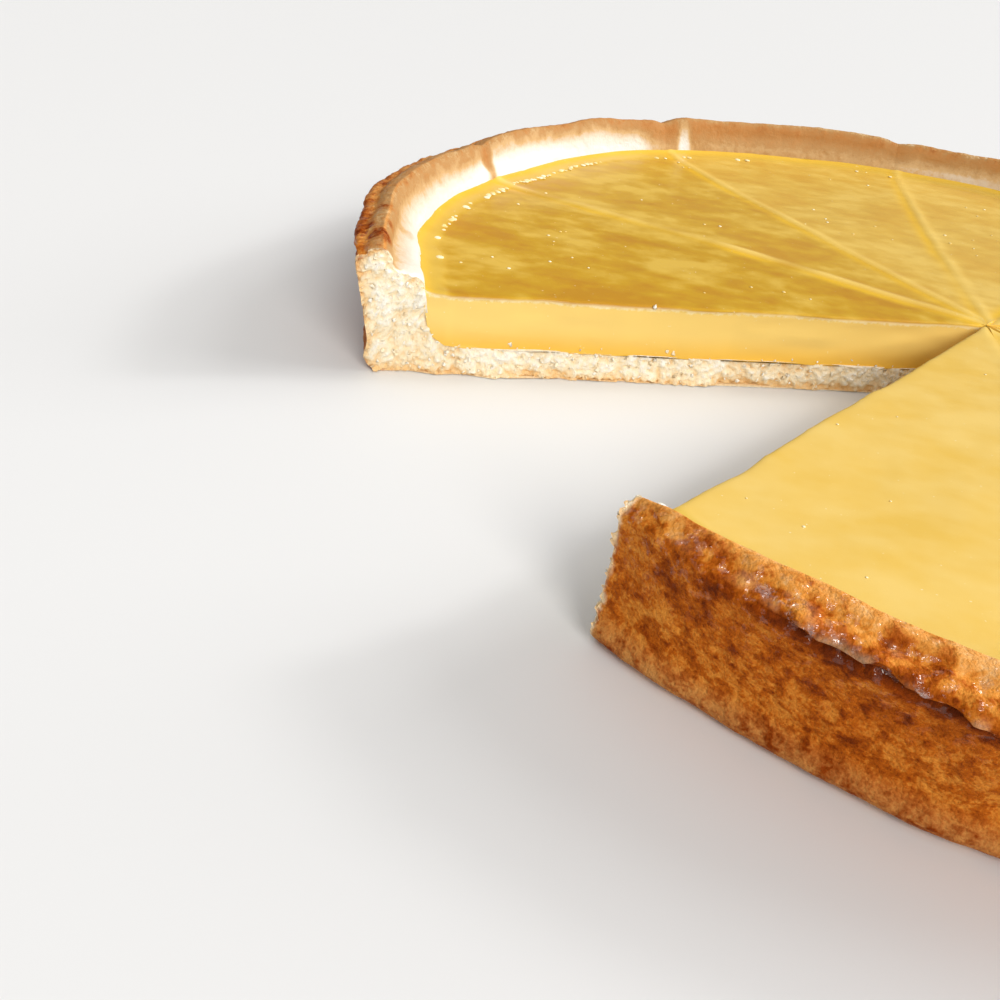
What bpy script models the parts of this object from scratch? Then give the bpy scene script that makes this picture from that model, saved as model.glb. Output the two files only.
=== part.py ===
"""A lemon tart, 25 cm across: a shortcrust case with a curd filling, cut in ten, one tenth gone.

Metres, +Z up. The origin is the middle of the tart on the surface that it stands on.
Angles are degrees, counted from +X towards +Y. Each slice is a crust solid and a filling solid.
"""
import math
import random

import bmesh
import bpy
from mathutils import Vector, noise

# The case
BASE_THICKNESS = 0.0058        # pastry under the filling
CREST_HEIGHT = 0.0246          # usual height of the rim
CREST_INSET = 0.0040           # from the wall's outer face in to the top of the crest
FOOT_LEAN = 0.0024             # how far the foot stands in from the body of the wall
FOOT_BULGE = 0.0012            # the dough that spread over the tin's bottom corner
FOLD_DROP = 0.0025             # the pressed fold runs this far under the crest
FOLD_DEPTH = 0.0013            # how far that fold stands out
WALL_BUMPS = 0.0005            # shallow bumps pressed into the wall by hand

# The filling
CURD_LEVEL = 0.0160
MENISCUS_RISE = 0.0010         # how far the curd climbs the wall
CURD_SWELL = 0.0003            # the gentle unevenness of its skin

# Clearances and cuts
CUT_GAP = 0.0008               # the knife's width between two slices
CURD_GAP = 0.0004              # between the curd and the pastry that it lies in
CRAGS = 0.0010                 # depth of the crumbling on the two cut faces that stand open
CURD_DRAG = 0.0003             # the knife's drag marks on the curd there
SECTIONS = 15                  # sections lofted along each slice
SMOOTH_RADII = (0.030, 0.060, 0.085)
CRAGGY_RADII = tuple(0.010 + 0.0062 * step for step in range(15))

# Radius of the wall's body, by angle: the rim is not a true circle
WALL_RADIUS = (
    (0, 0.1246), (40, 0.1230), (90, 0.1226), (130, 0.1232), (158, 0.1234), (176, 0.1250),
    (192, 0.1242), (228, 0.1182), (240, 0.1206), (256, 0.1218), (270, 0.1226), (310, 0.1232),
)

# Thickness of the wall where the filling meets it, by angle
WALL_THICKNESS = (
    (0, 0.0094), (35, 0.0102), (70, 0.0090), (98, 0.0101), (112, 0.0090), (127, 0.0082),
    (150, 0.0094), (163, 0.0087), (178, 0.0100), (191, 0.0122), (229, 0.0100), (255, 0.0092),
    (290, 0.0099), (325, 0.0089),
)

# Swells (+) and dips (-) along the crest: angle, half width, height
CREST_SWELLS = (
    (14, 9, 0.0007), (34, 6, -0.0005), (58, 10, 0.0008), (76, 5, -0.0004), (94, 9, 0.0006),
    (116, 3, 0.0005), (132, 4, 0.0009), (148, 6, 0.0007), (168, 7, 0.0008), (177, 6, 0.0007),
    (230, 10, -0.0010), (247, 5, -0.0006), (258, 6, 0.0004), (281, 8, 0.0007), (306, 7, -0.0004),
    (322, 8, 0.0008), (346, 7, 0.0003),
)

# How strongly the fold stands out, by angle
FOLD_STRENGTH = (
    (0, 0.6), (25, 0.2), (50, 0.8), (85, 0.3), (110, 0.5), (150, 0.3), (175, 0.7), (192, 0.4),
    (229, 0.0), (234, 0.2), (240, 1.0), (256, 1.1), (275, 0.4), (300, 0.9), (330, 0.3),
)

# The knife's cuts: angle at the rim, and how far the cut bows sideways at mid-radius
CUTS = (
    (228.9, 0.0000), (264.3, 0.0008), (299.3, -0.0010), (334.6, 0.0012), (371.4, 0.0004),
    (408.8, -0.0009), (444.1, 0.0007), (480.2, 0.0012), (514.6, -0.0014), (551.6, 0.0000),
)
NOTCH_DEPTH = 0.0009           # the crest is pressed down where the knife came through
NOTCH_WIDTH = 1.6              # degrees


def between(places, angle):
    """Ease between the values set at some angles round the tart."""
    angle %= 360
    ring = [(places[-1][0] - 360, places[-1][1]), *places, (places[0][0] + 360, places[0][1])]
    for (first, low), (last, high) in zip(ring, ring[1:]):
        if first <= angle <= last:
            share = (angle - first) / (last - first)
            share = share * share * (3 - 2 * share)
            return low + (high - low) * share
    raise ValueError(f"no value at {angle} degrees")


def apart(angle, other):
    """Degrees between two angles, never more than half a turn."""
    return abs((angle - other + 180) % 360 - 180)


def bell(distance, width):
    return math.exp(-(distance / width) ** 2)


def crest_height(angle):
    height = CREST_HEIGHT
    for place, width, swell in CREST_SWELLS:
        height += swell * bell(apart(angle, place), width)
    for cut, _ in CUTS:
        height -= NOTCH_DEPTH * bell(apart(angle, cut), NOTCH_WIDTH)
    return height


def mottle(angle, height, scale, seed):
    """Smooth unevenness over the tart, from -1 to 1."""
    turn = math.radians(angle)
    place = Vector((math.cos(turn), math.sin(turn), height)) * scale
    return noise.noise(place + Vector((seed, 0, 0)))


def case_rungs(angle, base_radii):
    """The case's section as rungs from hub to crest: outer side (r, z), inner side (r, z)."""
    crest = crest_height(angle)
    fold = FOLD_DEPTH * between(FOLD_STRENGTH, angle)
    near_open_cut = bell(apart(angle, CUTS[0][0]), 6)
    wall = between(WALL_RADIUS, angle) + WALL_BUMPS * mottle(angle, 0, 11, 5)
    lean = FOOT_LEAN * (1 - 0.8 * near_open_cut) * (1 + 0.3 * mottle(angle, 0, 4, 3))
    foot = wall - lean
    bulge = FOOT_BULGE * (1 + 0.5 * mottle(angle, 0, 9, 7))
    ridge = CREST_INSET * (1 - 0.45 * near_open_cut)
    bed = wall - between(WALL_THICKNESS, angle) - WALL_BUMPS * mottle(angle, 0, 8, 11)
    rungs = [((radius, 0), (radius, BASE_THICKNESS)) for radius in base_radii]
    rungs += [
        ((wall - 0.0200, 0), (bed - 0.0085, BASE_THICKNESS)),
        ((wall - 0.0100, 0), (bed - 0.0046, 0.0062)),
        ((foot - 0.0022, 0), (bed - 0.0023, 0.0077)),
        ((foot - 0.0004, 0.0005), (bed - 0.0011, 0.0100)),
        ((foot + bulge, 0.0024), (bed - 0.0005, 0.0130)),
        ((foot + 0.2 * lean, 0.0062), (bed, 0.0158)),
        ((foot + 0.5 * lean, 0.0110), (bed + 0.0009, 0.0184)),
        ((wall - 0.0003, 0.0162), (wall - ridge - 0.0026, crest - 0.0038)),
        ((wall + fold, crest - FOLD_DROP), (wall - ridge - 0.0019, crest - 0.0019)),
        ((wall - 0.25 * ridge - 0.4 * fold, crest - 0.0015), (wall - ridge - 0.0012, crest - 0.0007)),
        ((wall - 0.6 * ridge, crest - 0.0006), (wall - ridge - 0.0005, crest - 0.0001)),
        ((wall - ridge, crest), (wall - ridge, crest)),
    ]
    return rungs


def inset(points, gap):
    """Move a line of (r, z) points to the filling's side of it."""
    moved = []
    for index, (radius, height) in enumerate(points):
        before = points[max(index - 1, 0)]
        after = points[min(index + 1, len(points) - 1)]
        run = after[0] - before[0]
        rise = after[1] - before[1]
        length = math.hypot(run, rise)
        moved.append((radius - gap * rise / length, height + gap * run / length))
    return moved


def curd_rungs(angle, base_radii):
    """The filling's section as rungs from hub to wall: underside (r, z), skin (r, z)."""
    bed = [inner for _, inner in case_rungs(angle, base_radii)]
    wetted = [point for point in bed if point[1] < CURD_LEVEL]
    waterline = bed[len(wetted)]
    share = (CURD_LEVEL + MENISCUS_RISE - wetted[-1][1]) / (waterline[1] - wetted[-1][1])
    edge = tuple(low + share * (high - low) for low, high in zip(wetted[-1], waterline))
    under = inset([*wetted, edge], CURD_GAP)
    wall = under[-1][0]
    skin = [(radius, CURD_LEVEL) for radius in base_radii]
    skin += [(wall - drop, CURD_LEVEL) for drop in (0.0160, 0.0100, 0.0060)]
    skin += [
        (wall - 0.0036, CURD_LEVEL + 0.1 * MENISCUS_RISE),
        (wall - 0.0019, CURD_LEVEL + 0.3 * MENISCUS_RISE),
        (wall - 0.0008, CURD_LEVEL + 0.7 * MENISCUS_RISE),
    ]
    skin = [
        (radius, height + CURD_SWELL * mottle(angle, radius * 30, 40 * radius, 19))
        for radius, height in skin
    ]
    skin.append(under[-1])
    return list(zip(under, skin, strict=True))


def cut_angle(cut, radius, side):
    """Angle of one face of a cut at a radius; side is +1 or -1, away from the knife's middle."""
    angle, bow = cut
    reach = min(radius / 0.125, 1)
    drift = bow * math.sin(math.pi * reach) ** 2
    aside = drift + side * CUT_GAP / 2
    return angle + math.degrees(math.asin(max(-1, min(1, aside / radius))))


def tip_radius(start, end):
    """Where the two cuts of a slice meet; a little beyond it, so that they never cross."""
    half = math.radians(end[0] - start[0]) / 2
    return 1.03 * CUT_GAP / 2 / math.sin(half)


def stations():
    """Shares of the way along a slice, closer together by its cuts."""
    even = [index / (SECTIONS - 1) for index in range(SECTIONS)]
    return [0.55 * share + 0.45 * (1 - math.cos(math.pi * share)) / 2 for share in even]


def slice_sections(start, end, rungs_at, base_radii):
    """Closed sections, in space, from one cut of a slice to the next."""
    sections = []
    for share in stations():
        middle = start[0] + share * (end[0] - start[0])
        rungs = rungs_at(middle, base_radii)
        loop = [under for under, _ in rungs] + [over for _, over in reversed(rungs)]
        points = []
        for radius, height in loop:
            first = cut_angle(start, radius, 1)
            last = cut_angle(end, radius, -1)
            at_tip = radius == base_radii[0]
            turn = math.radians(first + (0.5 if at_tip else share) * (last - first))
            points.append(Vector((radius * math.cos(turn), radius * math.sin(turn), height)))
        sections.append(points)
    return sections


def crumble(section, outward, depth, draw):
    """Move a cut face's rim out and in. The hub stays, and so do all heights."""
    crest = len(section) // 2
    shift = Vector()
    for index in range(1, len(section) - 1):
        if index != crest:
            shift = outward * depth * (draw.random() - 0.5)
        section[index] += shift


def face_direction(cut, side):
    """The way that an open cut face looks."""
    turn = math.radians(cut[0] + 90 * side)
    return Vector((math.cos(turn), math.sin(turn), 0))


def loft(name, sections, material, crags):
    """Skin the sections, close both ends with a ladder of faces and merge the hub's points."""
    mesh = bpy.data.meshes.new(name)
    shape = bmesh.new()
    rings = [[shape.verts.new(point) for point in section] for section in sections]
    count = len(rings[0])
    for near, far in zip(rings, rings[1:]):
        for index in range(count):
            follow = (index + 1) % count
            shape.faces.new((near[index], near[follow], far[follow], far[index]))
    close_end(shape, rings[0], crags[0])
    close_end(shape, rings[-1], crags[1])
    bmesh.ops.remove_doubles(shape, verts=shape.verts, dist=0.00002)
    bmesh.ops.triangulate(shape, faces=shape.faces)
    bmesh.ops.recalc_face_normals(shape, faces=shape.faces)
    shape.to_mesh(mesh)
    shape.free()
    mesh.materials.append(material)
    mesh.shade_smooth()
    mesh.set_sharp_from_angle(angle=math.radians(35))
    piece = bpy.data.objects.new(name, mesh)
    bpy.context.collection.objects.link(piece)
    return piece


def close_end(shape, ring, crag):
    """Close one end. crag is None, or an open cut face's outward way, depth and draw."""
    half = len(ring) // 2
    under = ring[:half]
    over = ring[:half - 1:-1]
    if crag is None:
        for index in range(half - 1):
            shape.faces.new((under[index], under[index + 1], over[index + 1], over[index]))
        return
    outward, depth, draw = crag
    spine = [under[0]]
    for low, high in zip(under[1:-1], over[1:-1]):
        share = 0.35 + 0.3 * draw.random()
        place = low.co.lerp(high.co, share) + outward * depth * (draw.random() - 0.5)
        spine.append(shape.verts.new(place))
    spine.append(under[-1])
    shape.faces.new((under[0], under[1], spine[1], over[1], over[0]))
    for index in range(1, half - 1):
        for side in (under, over):
            corners = [side[index], side[index + 1], spine[index + 1], spine[index]]
            shape.faces.new(list(dict.fromkeys(corners)))


def remove_old_objects():
    for old in list(bpy.data.objects):
        bpy.data.objects.remove(old)


def finish_material(name, colour, roughness):
    material = bpy.data.materials.new(name)
    material.use_nodes = True
    shader = material.node_tree.nodes["Principled BSDF"]
    shader.inputs["Base Color"].default_value = (*colour, 1)
    shader.inputs["Roughness"].default_value = roughness
    shader.inputs["Metallic"].default_value = 0
    return material


def build_slice(number, start, end, crust, curd):
    """One slice: its crust and its filling, with crags where its cut stands open."""
    open_start = number == 1
    open_end = number == len(CUTS) - 1
    tip = tip_radius(start, end)
    crust_radii = (tip, *(CRAGGY_RADII if open_start or open_end else SMOOTH_RADII))
    curd_radii = (tip, *SMOOTH_RADII)
    draw = random.Random(number)
    for kind, material, rungs_at, radii, depth in (
        ("crust", crust, case_rungs, crust_radii, CRAGS),
        ("filling", curd, curd_rungs, curd_radii, CURD_DRAG),
    ):
        sections = slice_sections(start, end, rungs_at, radii)
        crags = [None, None]
        if open_start:
            crags[0] = (face_direction(start, -1), depth, draw)
            crumble(sections[0], *crags[0])
        if open_end:
            crags[1] = (face_direction(end, 1), depth, draw)
            crumble(sections[-1], *crags[1])
        loft(f"{kind}_{number}", sections, material, crags)


def build_tart():
    remove_old_objects()
    crust = finish_material("browned shortcrust", (0.56, 0.30, 0.11), 0.6)
    curd = finish_material("lemon curd", (0.87, 0.60, 0.14), 0.3)
    for number, (start, end) in enumerate(zip(CUTS, CUTS[1:]), start=1):
        build_slice(number, start, end, crust, curd)


build_tart()
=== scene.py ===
"""Dresses the frame of a sliced lemon tart: browned shortcrust, curd, crumbs and bubbles.

Metres, +Z up, in the frame's own axes. Angles are degrees, counted from +X towards +Y.
Each slice of the frame is replaced by a finer crust and a finer filling of the same form.
"""

import math

import bmesh
import bpy
import numpy as np
from mathutils import Matrix, Vector, noise


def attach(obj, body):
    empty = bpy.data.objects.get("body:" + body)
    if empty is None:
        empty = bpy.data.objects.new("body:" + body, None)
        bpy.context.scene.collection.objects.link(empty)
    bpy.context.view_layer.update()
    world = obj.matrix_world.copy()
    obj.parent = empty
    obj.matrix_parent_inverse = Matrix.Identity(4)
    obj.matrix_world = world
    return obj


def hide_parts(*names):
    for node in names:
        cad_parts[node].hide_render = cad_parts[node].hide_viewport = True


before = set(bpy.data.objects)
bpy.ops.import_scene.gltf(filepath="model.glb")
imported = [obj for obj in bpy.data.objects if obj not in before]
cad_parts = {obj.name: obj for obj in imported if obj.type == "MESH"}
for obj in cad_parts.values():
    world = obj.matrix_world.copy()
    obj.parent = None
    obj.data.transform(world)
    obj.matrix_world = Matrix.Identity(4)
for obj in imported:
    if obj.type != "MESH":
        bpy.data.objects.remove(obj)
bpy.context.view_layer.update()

bl_info = {
    "name": "Lemon Tart",
    "version": (1, 0, 0),
    "blender": (4, 5, 0),
    "location": "3D View > Sidebar > Tart",
    "description": "Dresses a sliced lemon tart with browned shortcrust, curd and crumbs",
    "category": "Add Mesh",
}

BODY = "root"
CRUST_SLOT = "crust"
CURD_SLOT = "filling"

# The tart's form, as its solids have it
TART_RADIUS = 0.125
RIM_RADIUS = 0.12              # where forms that run round the tart are read
BASE_THICKNESS = 0.0058
CREST_HEIGHT = 0.0246
CREST_INSET = 0.0040
FOOT_LEAN = 0.0024
FOOT_BULGE = 0.0012
FOLD_DROP = 0.0025
FOLD_DEPTH = 0.0013
WALL_BUMPS = 0.0005
CURD_LEVEL = 0.0160
MENISCUS_RISE = 0.0010
CURD_SWELL = 0.0003
NOTCH_DEPTH = 0.0009
NOTCH_WIDTH = 1.6
WALL_RADIUS = (
    (0, 0.1246), (40, 0.1230), (90, 0.1226), (130, 0.1232), (158, 0.1234), (176, 0.1250),
    (192, 0.1242), (228, 0.1182), (240, 0.1206), (256, 0.1218), (270, 0.1226), (310, 0.1232),
)
WALL_THICKNESS = (
    (0, 0.0094), (35, 0.0102), (70, 0.0090), (98, 0.0101), (112, 0.0090), (127, 0.0082),
    (150, 0.0094), (163, 0.0087), (178, 0.0100), (191, 0.0122), (229, 0.0100), (255, 0.0092),
    (290, 0.0099), (325, 0.0089),
)
CREST_SWELLS = (
    (14, 9, 0.0007), (34, 6, -0.0005), (58, 10, 0.0008), (76, 5, -0.0004), (94, 9, 0.0006),
    (116, 3, 0.0005), (132, 4, 0.0009), (148, 6, 0.0007), (168, 7, 0.0008), (177, 6, 0.0007),
    (230, 10, -0.0010), (247, 5, -0.0006), (258, 6, 0.0004), (281, 8, 0.0007), (306, 7, -0.0004),
    (322, 8, 0.0008), (346, 7, 0.0003),
)
FOLD_STRENGTH = (
    (0, 0.6), (25, 0.2), (50, 0.8), (85, 0.3), (110, 0.5), (150, 0.3), (175, 0.7), (192, 0.4),
    (229, 0.0), (234, 0.2), (240, 1.0), (256, 1.1), (275, 0.4), (300, 0.9), (330, 0.3),
)
CUTS = (
    (228.9, 0.0000), (264.3, 0.0008), (299.3, -0.0010), (334.6, 0.0012), (371.4, 0.0004),
    (408.8, -0.0009), (444.1, 0.0007), (480.2, 0.0012), (514.6, -0.0014), (551.6, 0.0000),
)
SLICES = len(CUTS) - 1
OPEN_CUTS = (CUTS[0], CUTS[-1])
UPRIGHT_WIDTH = 6              # degrees about the first cut where the wall stands steeper

CUT_WANDER = 0.00030           # how far the knife strayed between two slices
OPEN_WANDER = 0.00060          # and along the two open cuts
WANDER_SIZE = 0.008
STEADY_RADIUS = 0.05           # nearer the middle the knife strayed less
FAR_AWAY = 1.0                 # distance to an open cut, on a slice that has none

# How finely the dressed pieces are made
CLOSE_STEP = 0.00042           # on the two slices beside the open sector
FAR_STEP = 0.00060
CUT_STEP = 0.00032             # on the crumbling cut faces
CUT_COLUMNS = 26
CUT_CROWD = 0.25               # how much a slice's stations crowd towards its cuts
CUT_BASE_RADII = (0.006, 0.0985)  # between these the base's cut face crumbles finely
CUT_RUNG_LENGTH = 0.0080       # about the length of a rung of the base beside the wall
SEAM = 0.00001                 # what is left of a cut between two slices
TIP_ROOM = 1.03                # keeps a slice's two cuts from meeting in a point at its tip
SMALLEST_RADIUS = 0.001        # keeps the middle of the tart out of the sums
CREASE_ANGLE = 55              # edges sharper than this stay sharp
UNDERSIDE_RADII = (0.030, 0.060, 0.085)

# The curd's grid
CURD_OVERLAP = 0.0005          # the curd reaches this far into the pastry, so no gap shows
WALL_SAMPLES = 160             # angles at which the wall beside a slice is measured
BED_RUNGS = 6                  # rungs of the wall's inside that lie under the curd
SKIN_STEP = 0.0014
SKIN_STEP_RADIUS = 0.105       # where the columns of the skin stand one step apart
BAND_STEP = 0.0005
BAND_WIDTH = 0.0043            # the pale band of curd along the wall
BAND_ROOM = 0.0035             # the skin is as fine as in the band this far beyond it
CUT_RIBS = (0.0, 0.0002, 0.00045, 0.0008, 0.0013, 0.0020, 0.0030)
RIB_ROOM = 0.42                # share of a narrow slice that its ribs may take at each cut
CURD_COLUMNS = 14              # down an open cut face of the curd

# The curd's unevenness: how far each form stands out, and how wide it is
CURD_SWELL_SIZE = 0.024
DIMPLE_HEIGHT = 0.00007
DIMPLE_SIZE = 0.005
BAND_RISE = 0.00026
BAND_EDGE = 0.0009
BAND_WAVE = 0.0011
BAND_WAVE_SIZE = 0.0065
BAND_RAG = 0.0006
BAND_RAG_SIZE = 0.0028
MENISCUS_WIDTH = 0.0011
# Each cut's ridge and groove, to either side of it; the ridge is painted pale as light and the
# groove deep yellow as shade
RIDGE_HEIGHT = 0.00026
RIDGE_OFFSET = 0.0013
RIDGE_WIDTH = 0.0012
GROOVE_DEPTH = 0.00014
GROOVE_OFFSET = 0.0008
GROOVE_WIDTH = 0.0015
KNIFE_UNEVENNESS = 0.009
WALL_GROOVE = (0.65, 0.0018)   # strength and width of the deep yellow along the wall: the curd's thin edge, with painted shade of the crest
OPEN_EDGE_DROP = 0.00030       # how far the skin rounds down to an open cut
OPEN_EDGE_WIDTH = 0.00025
# The knife's drag on the open cut faces: depth, size of its features, height squeeze, seed
DRAG_MARKS = ((0.00022, 0.009, 4, 41), (0.00008, 0.0028, 2, 43))
DRAG_START = 0.12              # share of the height over which the drag grows below the skin
# How thickly the blisters stand along the wall, by angle
BEAD_CROWDS = (
    (0, 0.2), (90, 0.15), (120, 0.3), (127, 1.0), (168, 1.0), (185, 0.5), (240, 0.05),
    (300, 0.1),
)
CLUSTER_SIZE = 0.008           # they stand in clusters of about this size
# Strips of skin that are strewn: two distances from the pale band, and the height above the skin
BLISTER_STRIP = (-0.0008, 0.0004, 0.0002)
BUBBLE_STRIP = (0.0010, 0.0850, 0.00005)
STRIP_SAMPLES = 240
STRIP_STEP = 0.002
STRIP_END = 1.0                # degrees that a strip stays away from the open cuts
# The scattered bits themselves
BIT_SEGMENTS = 8
BIT_RINGS = 5
RAGGED_SCALE = 2600.0          # of the noise that makes crumbs ragged, per metre
TINT_SEED = 7
# Crumbs on the open cuts
CRUMB_PROUD = 0.0001           # they stand this far off the face
CRUMB_BASE_RADII = (0.004, 0.085, 20)  # first, last and number of them
CRUMB_FLOOR = 0.0006           # height of the lowest crumbs
CRUMB_SPREAD = 0.0014          # how far up the curd they lie thickly
CRUMBS_ON_PASTRY = 0.4         # how thickly they lie: on the pastry,
CRUMBS_BY_PASTRY = 0.20        # on the curd close above it,
CRUMBS_ON_CURD = 0.008         # and on the rest of the curd
# Painted light and shade on the skin round the tart: 0 deep gold, painted shade at the back, to 1
# pale lemon, painted light on the near side
SKIN_LIGHT_TONES = ((0, 0.75), (60, 0.60), (102, 0.48), (137, 0.15), (173, 0.02), (246, 1.0), (290, 0.9))

# The pastry's unevenness: how far each form stands out, and how wide it is
BUMP_HEIGHT = 0.00024          # pressed by hand
BUMP_SIZE = 0.0046
GRAIN_HEIGHT = 0.00010
GRAIN_SIZE = 0.0011
PIT_DEPTH = 0.00024
PIT_SIZE = 0.0019
WRINKLE_HEIGHT = 0.00032       # where the crest is glazed
WRINKLE_SIZE = 0.0022
EDGE_DROP = 0.00018            # how far the skin rounds down to a cut
EDGE_WIDTH = 0.0006
# The crumb of an open cut face: share of the crag depth, size of its features, seed
CRUMB_LUMPS = ((0.80, 0.0024, 5), (0.60, 0.0010, 9))
CRUMB_DUST = (0.25, 0.0006, 13)
CRUMB_WAVES = (0.45, 0.007, 15)
CRUMB_LEVEL = 0.70             # share of the crag depth that brings the crags back to the cut
BREAK_WIDTH = 0.0016           # pieces broken off along the outside
BREAK_SIZE = 0.0040
FRINGE_WIDTH = 0.0006          # ragged crumbs along the underside and the outer wall
FRINGE_SIZE = 0.0008
JITTER = 0.00014               # uneven spacing, which hides the grid
JITTER_SIZE = 0.0009
JITTER_START = 0.0006          # it sets in this far from the face's edge
BITE_DEPTH = 0.00035           # nibbled edge all round the face
BITE_SIZE = 0.0017
BITE_WIDTH = 0.0004
CUT_EDGE_BAKE = 0.0014         # how deep the browned skin shows in the cut

# Bake of the pastry at each rung of its section, 0 pale to 1 dark: the outside and the inside
# are both set from the base up to the crest
OUTER_BAKE = (0.40, 0.40, 0.46, 0.52, 0.59, 0.62, 0.58, 0.65, 0.60, 0.46, 0.42, 0.39)
INNER_BAKE = (0.12, 0.12, 0.12, 0.12, 0.10, 0.04, 0.04, 0.17, 0.27, 0.33, 0.35, 0.36)
# Strength of the bumps and the grain at the same rungs
OUTER_RELIEF = (0.0, 0.0, 0.0, 0.5, 0.9, 1.0, 1.0, 1.0, 1.0, 0.8, 0.6, 0.5)
INNER_RELIEF = (0.0, 0.0, 0.0, 0.2, 0.3, 0.6, 0.7, 0.7, 0.6, 0.5, 0.5, 0.5)
# The folded edge's lip: how far under the crest it runs, by angle
LIP_DROP = (
    (0, 0.0038), (40, 0.0032), (90, 0.0036), (150, 0.0030), (192, 0.0034), (229, 0.0012),
    (237, 0.0017), (246, 0.0027), (256, 0.0036), (275, 0.0040), (300, 0.0034), (330, 0.0034),
)
LIP_DEPTH = 0.0012             # how far it stands out
LIP_CREASE = 0.0007            # depth of the crease under it
LIP_RUNGS = 5                  # rungs of the outside that the lip may reach
LIP_STEP = 0.00028             # how finely the skin is made about the lip
# The wall's inside is browner in some places, with painted shade in the notches of the cuts near
# 120 and 155 degrees and a painted lit facet at 117 degrees: angle, added bake
INNER_BROWNING_AND_SHADE = (
    (0, 0.10), (40, 0.22), (70, 0.12), (96, 0.23), (115.8, 0.23), (117.0, -0.04), (117.5, -0.04),
    (119.0, 0.26), (122, 0.16), (126, -0.06), (153.2, -0.08), (154.6, 0.24), (156.2, -0.05),
    (163, -0.01), (175, 0.02), (190, 0.03), (229, 0.00), (262, 0.00), (300, 0.22), (335, 0.05),
)
# The crest is browner in some places too: angle, added bake
CREST_BROWNING = (
    (0, -0.02), (30, 0.06), (60, -0.03), (90, -0.09), (112, -0.03), (125, 0.11), (160, 0.02),
    (178, 0.03), (192, 0.08), (229, 0.02), (243, -0.02), (254, -0.08), (266, -0.05), (290, 0.07),
    (320, 0.03),
)
# How wet the crest and its outer bevel look, by angle
CREST_GLOSS = ((0, 0.6), (60, 0.5), (100, 0.3), (160, 0.3), (190, 0.7), (229, 1.0), (300, 1.0))
# Dark blistered spots on the crest: angle, half width, strength
SCORCHES = (
    (187, 5.0, 0.30), (178, 4.0, 0.24), (58, 3.0, 0.30), (318, 4.0, 0.30), (282, 2.5, 0.25),
    (234, 3.0, 0.20), (246, 5.0, 0.14),
)
# Strips that run round the case: middle and half width, in rungs past the crest
CREST_STRIP = (0.0, 3.0)
SCORCH_STRIP = (-1.6, 2.4)
RUN_DOWN_STRIP = (2.1, 1.5)    # bake runs down here from the crest
RIM_LIGHT_STRIP = (0.7, 0.8)
GLOSS_STRIP = (-1.8, 1.7)
WRINKLE_STRIP = (-1.2, 2.4)
TOP_STRIP = (-0.4, 2.9)
FOOT_STRIP = (4.0, 1.8)        # in rungs past the base
INSIDE_FROM = (0.6, 3.0)       # the case's inside begins here, in rungs past the crest
LIP_FROM = (-5.0, -4.0)        # and the folded lip begins and ends here
LIP_TO = (-0.6, 0.1)
# Places round the case: angle, half width
RUN_DOWN_SIDE = (186, 15)
RIM_LIGHT_SIDE = (246, 24)
EVEN_TOP_SIDE = (125, 60)      # where the crest is the most evenly browned
GLAZED_SIDE = (236, 36)        # where the outside is mottled orange and brown
LIP_EDGE = (-0.00018, 0.00012)  # the overhang sets in between these heights above its line
LIP_FADE = 0.0015              # and fades over this height
LIP_WAVE_SIZE = 0.0024
# Marks that follow the lip's line: middle and half width, in metres under it
LIP_CREASE_LINE = (0.0007, 0.0006)
# painted shade under the lip
LIP_SHADE_LINE = (0.0012, 0.0013)
LIP_WET_LINE = (-0.0002, 0.0004)
LIP_WANDER = (0.0009, 0.008)   # height and length of the lip's ups and downs
LIP_RIPPLE = (0.0004, 0.0021)
# Sizes of what is painted on the pastry
SCORCH_SIZE = 0.0046
STREAK_SIZE = 0.0075
STREAK_EDGE_SIZE = 0.0026
CUT_PALE_WIDTH = 0.0022        # the pastry is paler this close to an open cut
WORN_WIDTH = 0.0008            # its skin is rubbed off this close
WORN_RAG = 0.0009
WORN_INSIDE = 0.0007
WORN_SIZE = 0.0014
TORN_SIZE = 0.0020             # patches where the lip tore open
# What each mark adds to the paint or takes from it
STREAK_BAKE = 0.12             # bake that runs down all round
RUN_DOWN_BAKE = 0.30           # and more of it on one side
# painted highlight along the crest's inner edge
RIM_LIGHT_BAKE = 0.10
CUT_PALE_BAKE = 0.10
# painted highlight on the wrinkles' rises and painted shade in their hollows
WRINKLE_LIGHT_AND_SHADE = 0.36
# painted shade under the lip
LIP_SHADE_BAKE = 0.38
LIP_WET_GLOSS = 1.2
TORN_CRUMB = 0.28
# How evenly browned the crust is, 0 mottled to 1 even
TOP_CALM = 0.47
EVEN_TOP_CALM = 0.53           # added on the side where the crest is most even
# the colour turns duller and less saturated towards the foot
FOOT_CALM = 0.57
WALL_CALM = 0.59               # of the outer wall, away from its glazed side

# Noise fields of the materials: features per metre, detail, roughness
CRUST_FIELDS = {
    "clouds": (110, 2, 0.5),
    "blotches": (330, 3, 0.6),
    "spots": (560, 2, 0.6),
    "wet": (640, 2, 0.6),
    "freckles": (1000, 2, 0.6),
    "pores": (1300, 3, 0.7),
    "grain": (2600, 2, 0.6),
}
CURD_FIELDS = {
    "fine": (520, 2, 0.5),
    "ragged": (900, 3, 0.7),
    # its pale specks on the skin are painted glints of tiny bubbles
    "pores": (1500, 1, 0.55),
}
DRAWN_FIELDS = {
    "clouds": (42, 3, 0.55),
    "streaks": (130, 2, 0.5),
}
DRAWN_SQUEEZE = 1.7            # the curd's clouds and streaks are drawn out one way
DRAWN_TURN = math.radians(14)

# The photograph's camera
PHOTO_LENS = 32.88             # mm
PHOTO_SENSOR = 36              # mm
PHOTO_PLACE = Vector((-0.091575, -0.176857, 0.082489))
PHOTO_PITCH = math.radians(35.315)
PHOTO_ROLL = math.radians(7.92)

# The stage
FLOOR_REACH = 9.0
FLOOR_LEVEL = -0.0001
FLOOR_ROUGHNESS = 0.7
WHITE = (1, 1, 1)
WINDOW_WAY = (0.83, 0.29, 0.47)
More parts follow.
